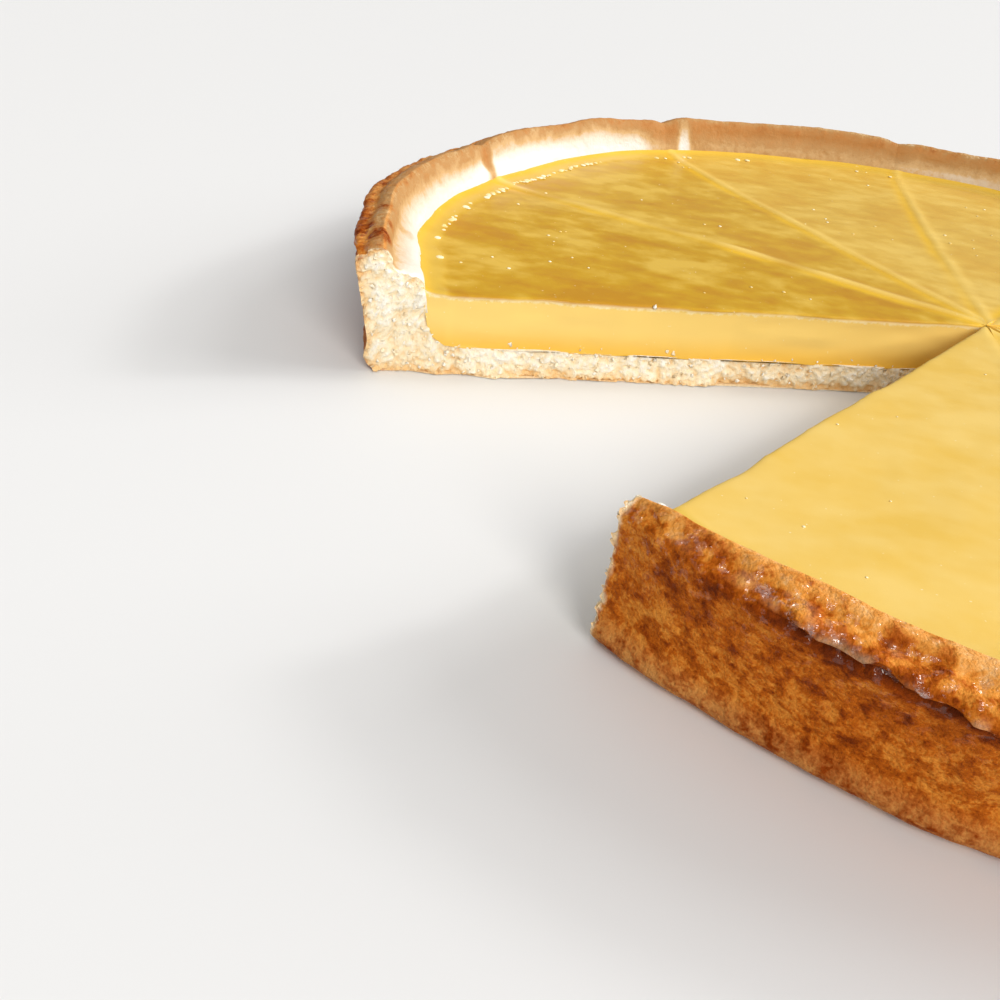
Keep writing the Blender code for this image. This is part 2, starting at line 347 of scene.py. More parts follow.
# Each light's name, the setting of its strength, the way to it, its spread and its colour
LIGHTS = (
    ("window", "window", WINDOW_WAY, 38, WHITE),
    ("window glint", "glint", WINDOW_WAY, 8, WHITE),
    ("overhead", "overhead", (0.1, 0.0, 1.0), 100, WHITE),
    ("front fill", "fill", (0.35, -0.75, 0.55), 30, (1.0, 0.96, 0.90)),
    ("front glint", "front_glint", (-0.12, -0.50, 0.75), 8, WHITE),
)

# How the numbers of the uneven surfaces are drawn
LATTICE_PRIMES = (374761393, 668265263, 1274126177)
LATTICE_SEED_STEP = 362437
LATTICE_MIXER = 1103515245
LATTICE_SHIFT = 0.731
OCTAVE_SIZE = 2.1              # each octave is this much finer than the one before
OCTAVE_HEIGHT = 1.8            # and this much lower
OCTAVE_TOTAL = 1.6


# ------------------------------------------------------------------ sums of the form

def between(places, angles):
    """Ease between the values set at some angles round the tart."""
    turned = np.mod(angles, 360)
    stops = np.array([places[-1][0] - 360, *(place[0] for place in places), places[0][0] + 360])
    values = np.array([places[-1][1], *(place[1] for place in places), places[0][1]])
    last = np.clip(np.searchsorted(stops, turned, side="right"), 1, len(stops) - 1)
    share = (turned - stops[last - 1]) / (stops[last] - stops[last - 1])
    share = share * share * (3 - 2 * share)
    return values[last - 1] + (values[last] - values[last - 1]) * share


def apart(angles, other):
    """Degrees between two angles, never more than half a turn."""
    return np.abs(np.mod(angles - other + 180, 360) - 180)


def bell(distance, width):
    """1 at no distance, easing to 0 over about the given width."""
    return np.exp(-(distance / width) ** 2)


def patch(angles, middle, width):
    """1 at an angle of the tart, easing to 0 over about so many degrees to both sides."""
    return bell(apart(angles, middle), width)


def from_polar(radius, turn, height):
    """Points at some radii, turns (in radians) and heights, as x, y and z."""
    return np.stack([radius * np.cos(turn), radius * np.sin(turn), height], axis=-1)


def angles_of(points):
    """The angle at which each point stands round the tart."""
    return np.degrees(np.arctan2(points[..., 1], points[..., 0]))


def rim_points(angles):
    """Points under the rim, to read unevenness that runs round the tart."""
    return from_polar(RIM_RADIUS, np.radians(angles), np.zeros_like(angles))


def crest_height(angles):
    height = np.full_like(angles, CREST_HEIGHT)
    for middle, width, lift in CREST_SWELLS:
        height += lift * patch(angles, middle, width)
    for cut, _ in CUTS:
        height -= NOTCH_DEPTH * patch(angles, cut, NOTCH_WIDTH)
    return height


def mottle(angles, scale, seed):
    """Smooth unevenness round the tart, from -1 to 1, the same as the solids have."""
    shift = Vector((seed, 0, 0))
    places = [Vector((math.cos(turn), math.sin(turn), 0)) for turn in np.radians(angles)]
    return np.array([noise.noise(place * scale + shift) for place in places])


def stacked(rungs):
    """Rungs of (r, z) pairs as one array of rung, angle, (r, z)."""
    return np.array([np.stack(rung, axis=-1) for rung in rungs])


def case_rungs(angles, base_radii):
    """The case's section at each angle: outer and inner sides, arrays of rung, angle, (r, z)."""
    crest = crest_height(angles)
    fold = FOLD_DEPTH * between(FOLD_STRENGTH, angles)
    upright = patch(angles, CUTS[0][0], UPRIGHT_WIDTH)
    wall = between(WALL_RADIUS, angles) + WALL_BUMPS * mottle(angles, scale=11, seed=5)
    lean = FOOT_LEAN * (1 - 0.8 * upright) * (1 + 0.3 * mottle(angles, scale=4, seed=3))
    foot = wall - lean
    bulge = FOOT_BULGE * (1 + 0.5 * mottle(angles, scale=9, seed=7))
    ridge = CREST_INSET * (1 - 0.45 * upright)
    bed_bumps = WALL_BUMPS * mottle(angles, scale=8, seed=11)
    bed = wall - between(WALL_THICKNESS, angles) - bed_bumps
    flat = np.zeros_like(angles)
    outer = [(flat + radius, flat) for radius in base_radii]
    inner = [(flat + radius, flat + BASE_THICKNESS) for radius in base_radii]
    outer += [
        (wall - 0.0200, flat),
        (wall - 0.0100, flat),
        (foot - 0.0022, flat),
        (foot - 0.0004, flat + 0.0005),
        (foot + bulge, flat + 0.0024),
        (foot + 0.2 * lean, flat + 0.0062),
        (foot + 0.5 * lean, flat + 0.0110),
        (wall - 0.0003, flat + 0.0162),
        (wall + fold, crest - FOLD_DROP),
        (wall - 0.25 * ridge - 0.4 * fold, crest - 0.0015),
        (wall - 0.6 * ridge, crest - 0.0006),
        (wall - ridge, crest),
    ]
    inner += [
        (bed - 0.0085, flat + BASE_THICKNESS),
        (bed - 0.0046, flat + 0.0062),
        (bed - 0.0023, flat + 0.0077),
        (bed - 0.0011, flat + 0.0100),
        (bed - 0.0005, flat + 0.0130),
        (bed, flat + 0.0158),
        (bed + 0.0009, flat + 0.0184),
        (wall - ridge - 0.0026, crest - 0.0038),
        (wall - ridge - 0.0019, crest - 0.0019),
        (wall - ridge - 0.0012, crest - 0.0007),
        (wall - ridge - 0.0005, crest - 0.0001),
        (wall - ridge, crest),
    ]
    return stacked(outer), stacked(inner)


def along(rungs, stops):
    """A smooth line through the rungs, read at stops counted in rungs."""
    last = len(rungs) - 1
    low = np.clip(np.floor(stops).astype(int), 0, last - 1)
    share = (stops - low)[:, None, None]
    before = rungs[np.maximum(low - 1, 0)]
    start = rungs[low]
    end = rungs[low + 1]
    after = rungs[np.minimum(low + 2, last)]
    slope_in = (end - before) / 2
    slope_out = (after - start) / 2
    square = share * share
    cube = square * share
    return (
        start * (2 * cube - 3 * square + 1) + slope_in * (cube - 2 * square + share)
        + end * (3 * square - 2 * cube) + slope_out * (cube - square)
    )


def stations(count, crowd):
    """Shares of the way along a slice, closer together by its cuts."""
    even = np.linspace(0, 1, count)
    return (1 - crowd) * even + crowd * (1 - np.cos(np.pi * even)) / 2


# ------------------------------------------------------------------ uneven surfaces

def lattice(cells, seed):
    """A number from 0 to 1 for each whole-numbered place."""
    mixed = sum(cells[..., axis] * prime for axis, prime in enumerate(LATTICE_PRIMES))
    mixed = (mixed + seed * LATTICE_SEED_STEP) & 0xFFFFFFFF
    mixed = ((mixed ^ (mixed >> 13)) * LATTICE_MIXER) & 0xFFFFFFFF
    mixed = (mixed ^ (mixed >> 16)) & 0xFFFF
    return mixed / 0xFFFF


def swell(points, size, seed):
    """Smooth unevenness from -1 to 1, with features of about the given size."""
    place = points / size + seed * LATTICE_SHIFT
    cell = np.floor(place).astype(np.int64)
    share = place - cell
    share = share * share * share * (share * (share * 6 - 15) + 10)
    total = 0
    for corner in np.ndindex(2, 2, 2):
        weight = 1
        for axis in range(3):
            weight = weight * (share[..., axis] if corner[axis] else 1 - share[..., axis])
        total = total + weight * lattice(cell + np.array(corner), seed)
    return total * 2 - 1


def rough(points, size, seed, octaves=3):
    """Several sizes of unevenness laid over each other, from about -1 to 1."""
    total = 0
    for step in range(octaves):
        finer = swell(points, size / OCTAVE_SIZE ** step, seed + step)
        total = total + finer / OCTAVE_HEIGHT ** step
    return total / OCTAVE_TOTAL


def lumps(points, size, seed):
    """Crumb-like lumps: 1 at the middle of each, 0 in the cracks between them."""
    place = points / size
    cell = np.floor(place).astype(np.int64)
    nearest = np.full(points.shape[:-1], np.inf)
    for corner in np.ndindex(3, 3, 3):
        neighbour = cell + np.array(corner) - 1
        seedlet = np.stack([lattice(neighbour, seed + 7 * axis) for axis in range(3)], axis=-1)
        away = np.linalg.norm(neighbour + seedlet - place, axis=-1)
        nearest = np.minimum(nearest, away)
    return np.clip(1 - nearest, 0, 1)


def soft_step(values, low, high):
    """0 below the low value, 1 above the high one, eased between them."""
    share = np.clip((values - low) / (high - low), 0, 1)
    return share * share * (3 - 2 * share)


def facing(grid):
    """Unit normals of a grid of points (point, station, xyz), away from the grid's middle."""
    along_section = np.gradient(grid, axis=0)
    along_slice = np.gradient(grid, axis=1)
    across = np.cross(along_section, along_slice)
    length = np.linalg.norm(across, axis=-1, keepdims=True)
    normals = across / np.maximum(length, 1e-12)
    middle = grid.reshape(-1, 3).mean(axis=0)
    return normals if float(np.sum((grid - middle) * normals)) > 0 else -normals


# ------------------------------------------------------------------ cuts and slices

def cut_angle(cut, radii, side):
    """Angle of one face of a cut at some radii; side is +1 or -1, away from its middle."""
    angle, bow = cut
    drift = bow * np.sin(np.pi * np.minimum(radii / TART_RADIUS, 1)) ** 2
    path = np.stack([radii, np.full_like(radii, angle), np.zeros_like(radii)], axis=-1)
    wander = rough(path, WANDER_SIZE, seed=131) * np.clip(radii / STEADY_RADIUS, 0, 1)
    drift = drift + (OPEN_WANDER if cut in OPEN_CUTS else CUT_WANDER) * wander
    return angle + np.degrees(np.arcsin(np.clip((drift + side * SEAM / 2) / radii, -1, 1)))


def on_cut_face(cut, side, flat):
    """Points of a cut face, from their (r, z)."""
    turn = np.radians(cut_angle(cut, flat[..., 0], side))
    return from_polar(flat[..., 0], turn, flat[..., 1])


def cut_normal(cut, side):
    """The way a cut face looks, out of its slice."""
    turn = math.radians(cut[0] - 90 * side)
    return np.array([math.cos(turn), math.sin(turn), 0.0])


def distance_to(cut, side, points):
    """Distance of points from a cut's face."""
    radius = np.hypot(points[..., 0], points[..., 1])
    turn = apart(angles_of(points), cut_angle(cut, np.maximum(radius, SMALLEST_RADIUS), side))
    return radius * np.radians(turn)


class Slice:
    """The room between two cuts, for a crust and a filling alike."""

    def __init__(self, number):
        self.start, self.end = CUTS[number - 1:number + 1]
        self.open_start = number == 1
        self.open_end = number == SLICES
        self.width = math.radians(self.end[0] - self.start[0])
        self.tip = TIP_ROOM * SEAM / 2 / math.sin(self.width / 2)
        self.base_radii = (self.tip, *UNDERSIDE_RADII)

    def cut_faces(self):
        """Whether each cut face stands open, its station, its cut and the slice's side of it."""
        return (
            (self.open_start, 0, self.start, 1),
            (self.open_end, -1, self.end, -1),
        )

    def angles(self, shares):
        """Angles at some shares of the way from the first cut to the last."""
        return self.start[0] + shares * (self.end[0] - self.start[0])

    def place(self, shares, section):
        """Places of a section's points (point, station, (r, z)), as x, y and z."""
        radius = section[..., 0]
        first = cut_angle(self.start, radius, 1)
        last = cut_angle(self.end, radius, -1)
        share = np.broadcast_to(shares, radius.shape).copy()
        share[radius <= self.tip * 1.001] = 0.5
        turn = np.radians(first + share * (last - first))
        return from_polar(radius, turn, section[..., 1])

    def distances(self, points):
        """Distances of points from the first cut, from the last and from the open one."""
        to_start = distance_to(self.start, 1, points)
        to_end = distance_to(self.end, -1, points)
        if self.open_start:
            return to_start, to_end, to_start
        if self.open_end:
            return to_start, to_end, to_end
        return to_start, to_end, np.full_like(to_start, FAR_AWAY)


# ------------------------------------------------------------------ meshes

def add_object(name, data):
    """A new object in the scene, at its origin."""
    made = bpy.data.objects.new(name, data)
    bpy.context.scene.collection.objects.link(made)
    return made


class Shell:
    """Points, faces and painted values of a closed mesh while it is put together."""

    def __init__(self, *paints):
        self.points = []
        self.faces = []
        self.paints = {name: [] for name in paints}
        self.count = 0

    def add(self, points, **paint):
        """Take in a grid of points with their paint, and return their numbers."""
        flat = points.reshape(-1, 3)
        self.points.append(flat)
        for name, values in self.paints.items():
            given = np.broadcast_to(paint.get(name, 0.0), points.shape[:-1])
            values.append(given.reshape(-1))
        numbers = np.arange(self.count, self.count + len(flat))
        self.count += len(flat)
        return numbers.reshape(points.shape[:-1])

    def face(self, *corners):
        """One face; corners that fall together are taken once."""
        kept = [corner for corner, after in zip(corners, corners[1:] + corners[:1])
                if corner != after]
        if len(kept) > 2:
            self.faces.append(kept)

    def quads(self, numbers):
        """Faces over a grid of numbers."""
        for near, far in zip(numbers[:-1], numbers[1:]):
            for left in range(len(near) - 1):
                self.face(near[left], near[left + 1], far[left + 1], far[left])

    def bridge(self, fine, coarse, match):
        """Join two lines of points; match gives the fine line's place of each coarse point."""
        for step in range(len(coarse) - 1):
            near = coarse[step]
            far = coarse[step + 1]
            chain = fine[match[step]:match[step + 1] + 1]
            middle = (len(chain) - 1) // 2
            for left in range(middle):
                self.face(near, chain[left + 1], chain[left])
            self.face(near, far, chain[middle])
            for left in range(middle, len(chain) - 1):
                self.face(far, chain[left + 1], chain[left])

    def bridge_ring(self, fine, coarse, match):
        """The same for two closed rings."""
        self.bridge([*fine, fine[0]], [*coarse, coarse[0]], [*match, len(fine)])

    def build(self, name, material):
        """Make the mesh, with its paint, and put it into the scene."""
        mesh = bpy.data.meshes.new(name)
        mesh.from_pydata(np.concatenate(self.points).tolist(), [], self.faces)
        for paint, values in self.paints.items():
            layer = mesh.attributes.new(paint, "FLOAT", "POINT")
            layer.data.foreach_set("value", np.concatenate(values).astype(np.float32))
        tidy = bmesh.new()
        tidy.from_mesh(mesh)
        loose = [point for point in tidy.verts if not point.link_faces]
        bmesh.ops.delete(tidy, geom=loose, context="VERTS")
        bmesh.ops.recalc_face_normals(tidy, faces=tidy.faces)
        tidy.to_mesh(mesh)
        tidy.free()
        mesh.materials.append(material)
        mesh.shade_smooth()
        mesh.set_sharp_from_angle(angle=math.radians(CREASE_ANGLE))
        return add_object(name, mesh)


def section_stops(rung_lengths, first_dense, step):
    """Stops along the rungs: whole ones by the hub, then about a step apart, closer at the lip."""
    stops = list(range(first_dense))
    for rung in range(first_dense, len(rung_lengths)):
        at_lip = rung >= len(rung_lengths) - LIP_RUNGS
        pieces = max(1, round(rung_lengths[rung] / (min(step, LIP_STEP) if at_lip else step)))
        stops += [rung + part / pieces for part in range(pieces)]
    return np.array([*stops, len(rung_lengths)])


def there_and_back(stops, last):
    """The same stops up the outer side and down the inner one, meeting at the crest."""
    return np.concatenate([stops, 2 * last - stops[-2::-1]])


def nearest_places(line, spots):
    """The number of the point on a line that is nearest to each spot."""
    return [int(np.argmin(np.abs(line - spot))) for spot in spots]


# ------------------------------------------------------------------ the crust

def paint_at(outer_values, inner_values, base_count, loop_stops):
    """Values set at the wall's rungs, read at every stop round the section."""
    outer = [outer_values[0]] * base_count + list(outer_values)
    inner = [inner_values[0]] * base_count + list(inner_values)
    ring = outer + inner[-2::-1]
    return np.interp(loop_stops, range(len(ring)), ring)[:, None]


def strip(loop_stops, start, place):
    """1 along the middle of a strip round the case, easing to 0 beside it."""
    middle, width = place
    return bell(loop_stops - (start + middle), width)[:, None]


def wrinkles(points):
    """The glazed crest's wrinkles, which its colour follows too: painted highlight on the rises,
    painted shade in the hollows.
    """
    return rough(points, WRINKLE_SIZE, seed=51)


def crust_relief(points, relief, wrinkled):
    """How far the pastry's skin stands out: pressed bumps, pits and a fine grain."""
    bumps = BUMP_HEIGHT * rough(points, BUMP_SIZE, seed=11)
    grain = GRAIN_HEIGHT * rough(points, GRAIN_SIZE, seed=23, octaves=2)
    pits = -PIT_DEPTH * soft_step(swell(points, PIT_SIZE, seed=37), 0.40, 0.85)
    folds = WRINKLE_HEIGHT * wrinkles(points)
    return relief * (bumps + (1 - 0.5 * wrinkled) * (grain + pits) + wrinkled * folds)


def lip_line(angles):
    """How far under the crest the folded edge's lip runs; it wanders a little."""
    ring = rim_points(angles)
    wander_height, wander_size = LIP_WANDER
    ripple_height, ripple_size = LIP_RIPPLE
    wander = wander_height * rough(ring, wander_size, seed=97)
    return between(LIP_DROP, angles) + wander + ripple_height * swell(ring, ripple_size, seed=99)


def lip_push(points, loop_stops, crest_stop):
    """The folded edge's overhanging lip: its height, and the painted shade and the gloss about its
    line.
    """
    angles = angles_of(points)
    under_lip = crest_height(angles[0])[None, :] - points[..., 2] - lip_line(angles)
    outside = soft_step(loop_stops, *(crest_stop + stop for stop in LIP_FROM))
    outside = outside * (1 - soft_step(loop_stops, *(crest_stop + stop for stop in LIP_TO)))
    strength = np.clip(between(FOLD_STRENGTH, angles), 0.12, 1.1) * outside[:, None]
    ledge = soft_step(-under_lip, *LIP_EDGE) * np.exp(-np.maximum(-under_lip, 0) / LIP_FADE)
    ledge = ledge * (0.75 + 0.5 * swell(points, LIP_WAVE_SIZE, seed=103))
    crease, shade, wet = (
        bell(under_lip - middle, width)
        for middle, width in (LIP_CREASE_LINE, LIP_SHADE_LINE, LIP_WET_LINE)
    )
    return strength * (LIP_DEPTH * ledge - LIP_CREASE * crease), shade * strength, wet * strength


def scorch(angles):
    """How dark the blistered spots of the crest make it."""
    return sum(strength * patch(angles, middle, width) for middle, width, strength in SCORCHES)


def crust_paint(points, loop_stops, base_count, crest_stop, to_open):
    """The pastry's paint: bake, white crumb, gloss, and calm where it is evenly browned."""
    angles = angles_of(points)
    inside = soft_step(loop_stops, *(crest_stop + stop for stop in INSIDE_FROM))[:, None]
    gloss = strip(loop_stops, crest_stop, GLOSS_STRIP) * between(CREST_GLOSS, angles)

    bake = paint_at(OUTER_BAKE, INNER_BAKE, base_count, loop_stops)
    # browning, and painted shade and light about the notches
    bake = bake + inside * between(INNER_BROWNING_AND_SHADE, angles)
    bake = bake + strip(loop_stops, crest_stop, CREST_STRIP) * between(CREST_BROWNING, angles)
    spots = soft_step(rough(points, SCORCH_SIZE, seed=71), -0.05, 0.35)
    on_crest = strip(loop_stops, crest_stop, SCORCH_STRIP)
    bake = bake + on_crest * scorch(angles) * (1.1 * spots - 0.1)
    streaks = rough(points, STREAK_SIZE, seed=91) + 0.35 * swell(points, STREAK_EDGE_SIZE, seed=93)
    run_down = strip(loop_stops, crest_stop, RUN_DOWN_STRIP) * soft_step(streaks, -0.15, 0.45)
    bake = bake + run_down * (STREAK_BAKE + RUN_DOWN_BAKE * patch(angles, *RUN_DOWN_SIDE))
    # painted highlight: a paler line along the crest's inner edge on the near side
    rim_light = patch(angles, *RIM_LIGHT_SIDE) * strip(loop_stops, crest_stop, RIM_LIGHT_STRIP)
    bake = bake - RIM_LIGHT_BAKE * rim_light
    bake = bake - CUT_PALE_BAKE * np.exp(-to_open / CUT_PALE_WIDTH)
    # painted highlight on the wrinkles' rises, painted shade in their hollows
    bake = bake - WRINKLE_LIGHT_AND_SHADE * gloss * wrinkles(points)

    worn = WORN_WIDTH + WORN_RAG * rough(points, WORN_SIZE, seed=83) + WORN_INSIDE * inside
    crumb = soft_step(worn - to_open, -0.0002, 0.0008)

    on_top = strip(loop_stops, crest_stop, TOP_STRIP)
    top_calm = TOP_CALM + EVEN_TOP_CALM * patch(angles, *EVEN_TOP_SIDE)
    calm = inside + (1 - inside) * on_top * top_calm
    calm = calm + FOOT_CALM * strip(loop_stops, base_count, FOOT_STRIP)
    calm = np.maximum(calm, WALL_CALM * (1 - patch(angles, *GLAZED_SIDE)))
    return {"bake": bake, "crumb": crumb, "gloss": gloss, "calm": calm}


def crust_section(angles, base_radii, step):
    """The case's section at some angles: its (r, z), their stops and the crest's stop."""
    outer, inner = case_rungs(angles, base_radii)
    rungs = np.concatenate([outer, inner[-2::-1]])
    base_count = len(base_radii)
    crest_stop = len(outer) - 1
    middle = outer[:, len(angles) // 2]
    lengths = np.linalg.norm(np.diff(middle, axis=0), axis=-1)
    loop_stops = there_and_back(section_stops(lengths, base_count + 1, step), crest_stop)
    section = along(rungs, loop_stops)
    on_base = (loop_stops < base_count) | (loop_stops > 2 * crest_stop - base_count)
    section[on_base] = rungs[loop_stops[on_base].astype(int)]
    section[..., 1] = np.maximum(section[..., 1], 0)
    return section, loop_stops, crest_stop


def build_crust(number, material, crag_depth):
    """One slice's pastry, with a crumbling cut face where the sector stands open."""
    wedge = Slice(number)
    base_count = len(wedge.base_radii)
    step = CLOSE_STEP if wedge.open_start or wedge.open_end else FAR_STEP
    shares = stations(round(wedge.width * TART_RADIUS / step), CUT_CROWD)
    section, loop_stops, crest_stop = crust_section(wedge.angles(shares), wedge.base_radii, step)
    grid = wedge.place(shares, section)
    to_start, to_end, to_open = wedge.distances(grid)
    by_cut = bell(np.minimum(to_start, to_end), EDGE_WIDTH)
    relief = paint_at(OUTER_RELIEF, INNER_RELIEF, base_count, loop_stops)
    push = crust_relief(grid, relief, strip(loop_stops, crest_stop, WRINKLE_STRIP))
    lip, lip_shade, lip_wet = lip_push(grid, loop_stops, crest_stop)
    push = push - EDGE_DROP * relief * by_cut + lip
    grid = grid + facing(grid) * push[..., None]
    grid[..., 2] = np.maximum(grid[..., 2], 0)
    paint = crust_paint(grid, loop_stops, base_count, crest_stop, to_open)
    # painted shade under the lip
    paint["bake"] = paint["bake"] + LIP_SHADE_BAKE * lip_shade
    paint["gloss"] = paint["gloss"] + LIP_WET_GLOSS * lip_wet
    torn = soft_step(swell(grid, TORN_SIZE, seed=107), 0.0, 0.5) * np.clip(lip_wet, 0, 1)
    paint["crumb"] = np.maximum(paint["crumb"], TORN_CRUMB * torn)
    shell = Shell("bake", "crumb", "gloss", "calm")
    numbers = shell.add(grid, **paint)
    numbers[0] = numbers[0, 0]
    numbers[-1] = numbers[-1, 0]
    body = numbers
    if wedge.open_start:
        body = numbers[:, 1:]
    if wedge.open_end:
        body = numbers[:, :-1]
    shell.quads(body.T)
    for column in range(body.shape[1] - 1):
        shell.face(body[-1, column], body[0, column], body[0, column + 1], body[-1, column + 1])
    for is_open, column, cut, side in wedge.cut_faces():
        ring = body[:, column]
        if is_open:
            close_open_crust(shell, ring, loop_stops, crest_stop, wedge.base_radii, cut, side,
                             crag_depth)
        else:
            close_plain(shell, ring)
    return shell.build(f"crust_slice_{number}", material)


def close_plain(shell, ring):
    """Ladder of faces across a cut face that its neighbour hides."""
    last = len(ring) - 1
    for step in range(last // 2):
        shell.face(ring[step], ring[step + 1], ring[last - step - 1], ring[last - step])


def crumble(flat, cut, side, depth):
    """A crumbling cut face over a grid of (r, z): its points, and how browned they are, with
    painted shade in its hollows.
    """
    grid = on_cut_face(cut, side, flat)
    from_outside = np.linalg.norm(flat - flat[:, :1], axis=-1)
    from_edge = np.minimum(from_outside, np.linalg.norm(flat - flat[:, -1:], axis=-1))
    dust_share, dust_size, dust_seed = CRUMB_DUST
    wave_share, wave_size, wave_seed = CRUMB_WAVES
    crags = sum(share * lumps(grid, size, seed) for share, size, seed in CRUMB_LUMPS) - CRUMB_LEVEL
    crags = crags + dust_share * swell(grid, dust_size, dust_seed)
    crags = crags + wave_share * rough(grid, wave_size, wave_seed)
    broken = soft_step(swell(grid, BREAK_SIZE, seed=17), -0.1, 0.6)
    broken = bell(from_outside, BREAK_WIDTH) * broken
    fringe = 1.5 * bell(from_outside, FRINGE_WIDTH) * soft_step(flat[..., 0], 0.03, 0.07)
    fringe = fringe * (lumps(grid, FRINGE_SIZE, seed=19) - 0.4)
    jitter = np.stack([swell(grid, JITTER_SIZE, seed=21 + axis) for axis in range(3)], axis=-1)
    jittered = np.clip(from_edge / JITTER_START, 0, 1)
    grid = grid + cut_normal(cut, side) * (depth * (crags - 0.9 * broken + fringe))[..., None]
    grid = grid + JITTER * jitter * jittered[..., None]
    inwards = np.where(flat[..., 1] > flat[..., 1].mean(axis=1, keepdims=True), -1, 1)
    bite = np.abs(BITE_DEPTH * rough(grid, BITE_SIZE, seed=29))
    grid[..., 2] += inwards * bell(from_edge, BITE_WIDTH) * bite
    grid[..., 2] = np.maximum(grid[..., 2], 0)
    # painted shade: the crumb's hollows are painted toasted gold and its rises paler
    bake = 0.26 - 0.75 * crags + 0.6 * bell(from_outside, CUT_EDGE_BAKE) + 0.3 * broken
    return grid, np.clip(bake, 0, 0.85)


def close_open_crust(shell, near_ring, loop_stops, crest_stop, few_radii, cut, side, depth):
    """The crumbling cut face of the pastry: a fine grid, zipped to the slice's last section."""
    few = len(few_radii)
    base_radii = np.unique([*few_radii, *np.arange(*CUT_BASE_RADII, CUT_STEP)])
    shift = len(base_radii) - few
    outer, inner = case_rungs(np.array([cut[0]]), base_radii)
    rungs = np.concatenate([outer, inner[-2::-1]])
    last = len(outer) - 1
    corner = np.arange(few - 1, few + 1, CUT_STEP / CUT_RUNG_LENGTH)[1:]
    climb = loop_stops[(loop_stops >= few) & (loop_stops <= crest_stop)]
    wall = np.concatenate([corner, climb, climb[:-1] + np.diff(climb) / 2])
    stops = np.concatenate([np.arange(len(base_radii)), np.unique(np.round(wall, 6)) + shift])
    lower = along(rungs, stops)[:, 0]
    upper = along(rungs, 2 * last - stops)[:, 0]
    lower[:, 1] = np.maximum(lower[:, 1], 0)
    share = np.linspace(0, 1, CUT_COLUMNS)[None, :, None]
    grid, bake = crumble(lower[:, None] * (1 - share) + upper[:, None] * share, cut, side, depth)
    numbers = shell.add(grid, bake=bake, crumb=1.0)
    numbers[-1] = numbers[-1, 0]
    shell.quads(numbers)
    shell.face(*numbers[0])
    ring = np.concatenate([numbers[:, 0], numbers[-2::-1, -1]])
    coarse_loop = loop_stops + shift
    for place, radius in enumerate(few_radii):
        fine_place = np.searchsorted(base_radii, radius)
        coarse_loop[loop_stops == place] = fine_place
        coarse_loop[loop_stops == 2 * crest_stop - place] = 2 * last - fine_place
    match = nearest_places(there_and_back(stops, last), coarse_loop)
    shell.bridge_ring(list(ring), list(near_ring), match)


# ------------------------------------------------------------------ the filling

def waterline(angles):
    """Radius of the pastry's inside where the curd meets it."""
    _, inner = case_rungs(angles, ())
    low, high = inner[BED_RUNGS - 1:BED_RUNGS + 1]
    share = (CURD_LEVEL + MENISCUS_RISE - low[:, 1]) / (high[:, 1] - low[:, 1])
    return low[:, 0] + share * (high[:, 0] - low[:, 0])


def band_width(angles):
    """Width of the pale band along the wall, with its wavy inner edge."""
    return BAND_WIDTH + BAND_WAVE * rough(rim_points(angles), BAND_WAVE_SIZE, seed=61)


def curd_shares(radii, wedge):
    """Stations along a slice at each radius, crowded within a few millimetres of its cuts."""
    width = radii[:, None] * wedge.width
    ribs = np.array(CUT_RIBS)[None, :] * np.minimum(1, RIB_ROOM * width / CUT_RIBS[-1]) / width
    between_ribs = round(SKIN_STEP_RADIUS * wedge.width / SKIN_STEP)
    inside = np.linspace(0, 1, between_ribs + 2)[1:-1]
    spread = ribs[:, -1:] + inside[None, :] * (1 - 2 * ribs[:, -1:])
    return np.concatenate([ribs, spread, 1 - ribs[:, ::-1]], axis=1)


def open_skin(points):
    """Height of the curd's skin away from the wall and the cuts."""
    ground = points * (1, 1, 0)
    lift = CURD_SWELL * swell(ground, CURD_SWELL_SIZE, seed=19)
    return CURD_LEVEL + lift + DIMPLE_HEIGHT * rough(ground, DIMPLE_SIZE, seed=27)


def skin_height(points, from_wall, wedge):
    """Height of the curd's skin, with its band, its climb up the wall and the knife's marks."""
    ground = points * (1, 1, 0)
    to_start, to_end, to_open = wedge.distances(points)
    width = band_width(angles_of(points))
    ragged_wall = from_wall + BAND_RAG * rough(ground, BAND_RAG_SIZE, seed=47, octaves=2)
    band = 1 - soft_step(ragged_wall, width - BAND_EDGE, width + BAND_EDGE)
    wander = 0.70 + 0.6 * swell(ground, KNIFE_UNEVENNESS, seed=33)
    at_start = 0.0 if wedge.open_start else 1.0
    at_end = 0.0 if wedge.open_end else 1.0
    # the ridge's pale colour is painted light, the groove's deep yellow painted shade
    ridge = bell(to_end - RIDGE_OFFSET, RIDGE_WIDTH) * at_end
    ridge = (ridge + bell(to_start + RIDGE_OFFSET, RIDGE_WIDTH) * at_start) * wander
    groove = bell(to_start - GROOVE_OFFSET, GROOVE_WIDTH) * at_start
    groove = (groove + bell(to_end + GROOVE_OFFSET, GROOVE_WIDTH) * at_end) * wander
    height = open_skin(points) + BAND_RISE * band
    height = height + MENISCUS_RISE * np.exp(-np.maximum(from_wall, 0) / MENISCUS_WIDTH)
    height = height + RIDGE_HEIGHT * ridge - GROOVE_DEPTH * groove
    height = height - OPEN_EDGE_DROP * np.exp(-to_open / OPEN_EDGE_WIDTH)
    # painted shade of the crest on the curd's thin edge along the wall
    strength, reach_out = WALL_GROOVE
    groove = np.maximum(groove, strength * bell(from_wall, reach_out))
    return height, {"rim": band, "ridge": ridge, "groove": groove}


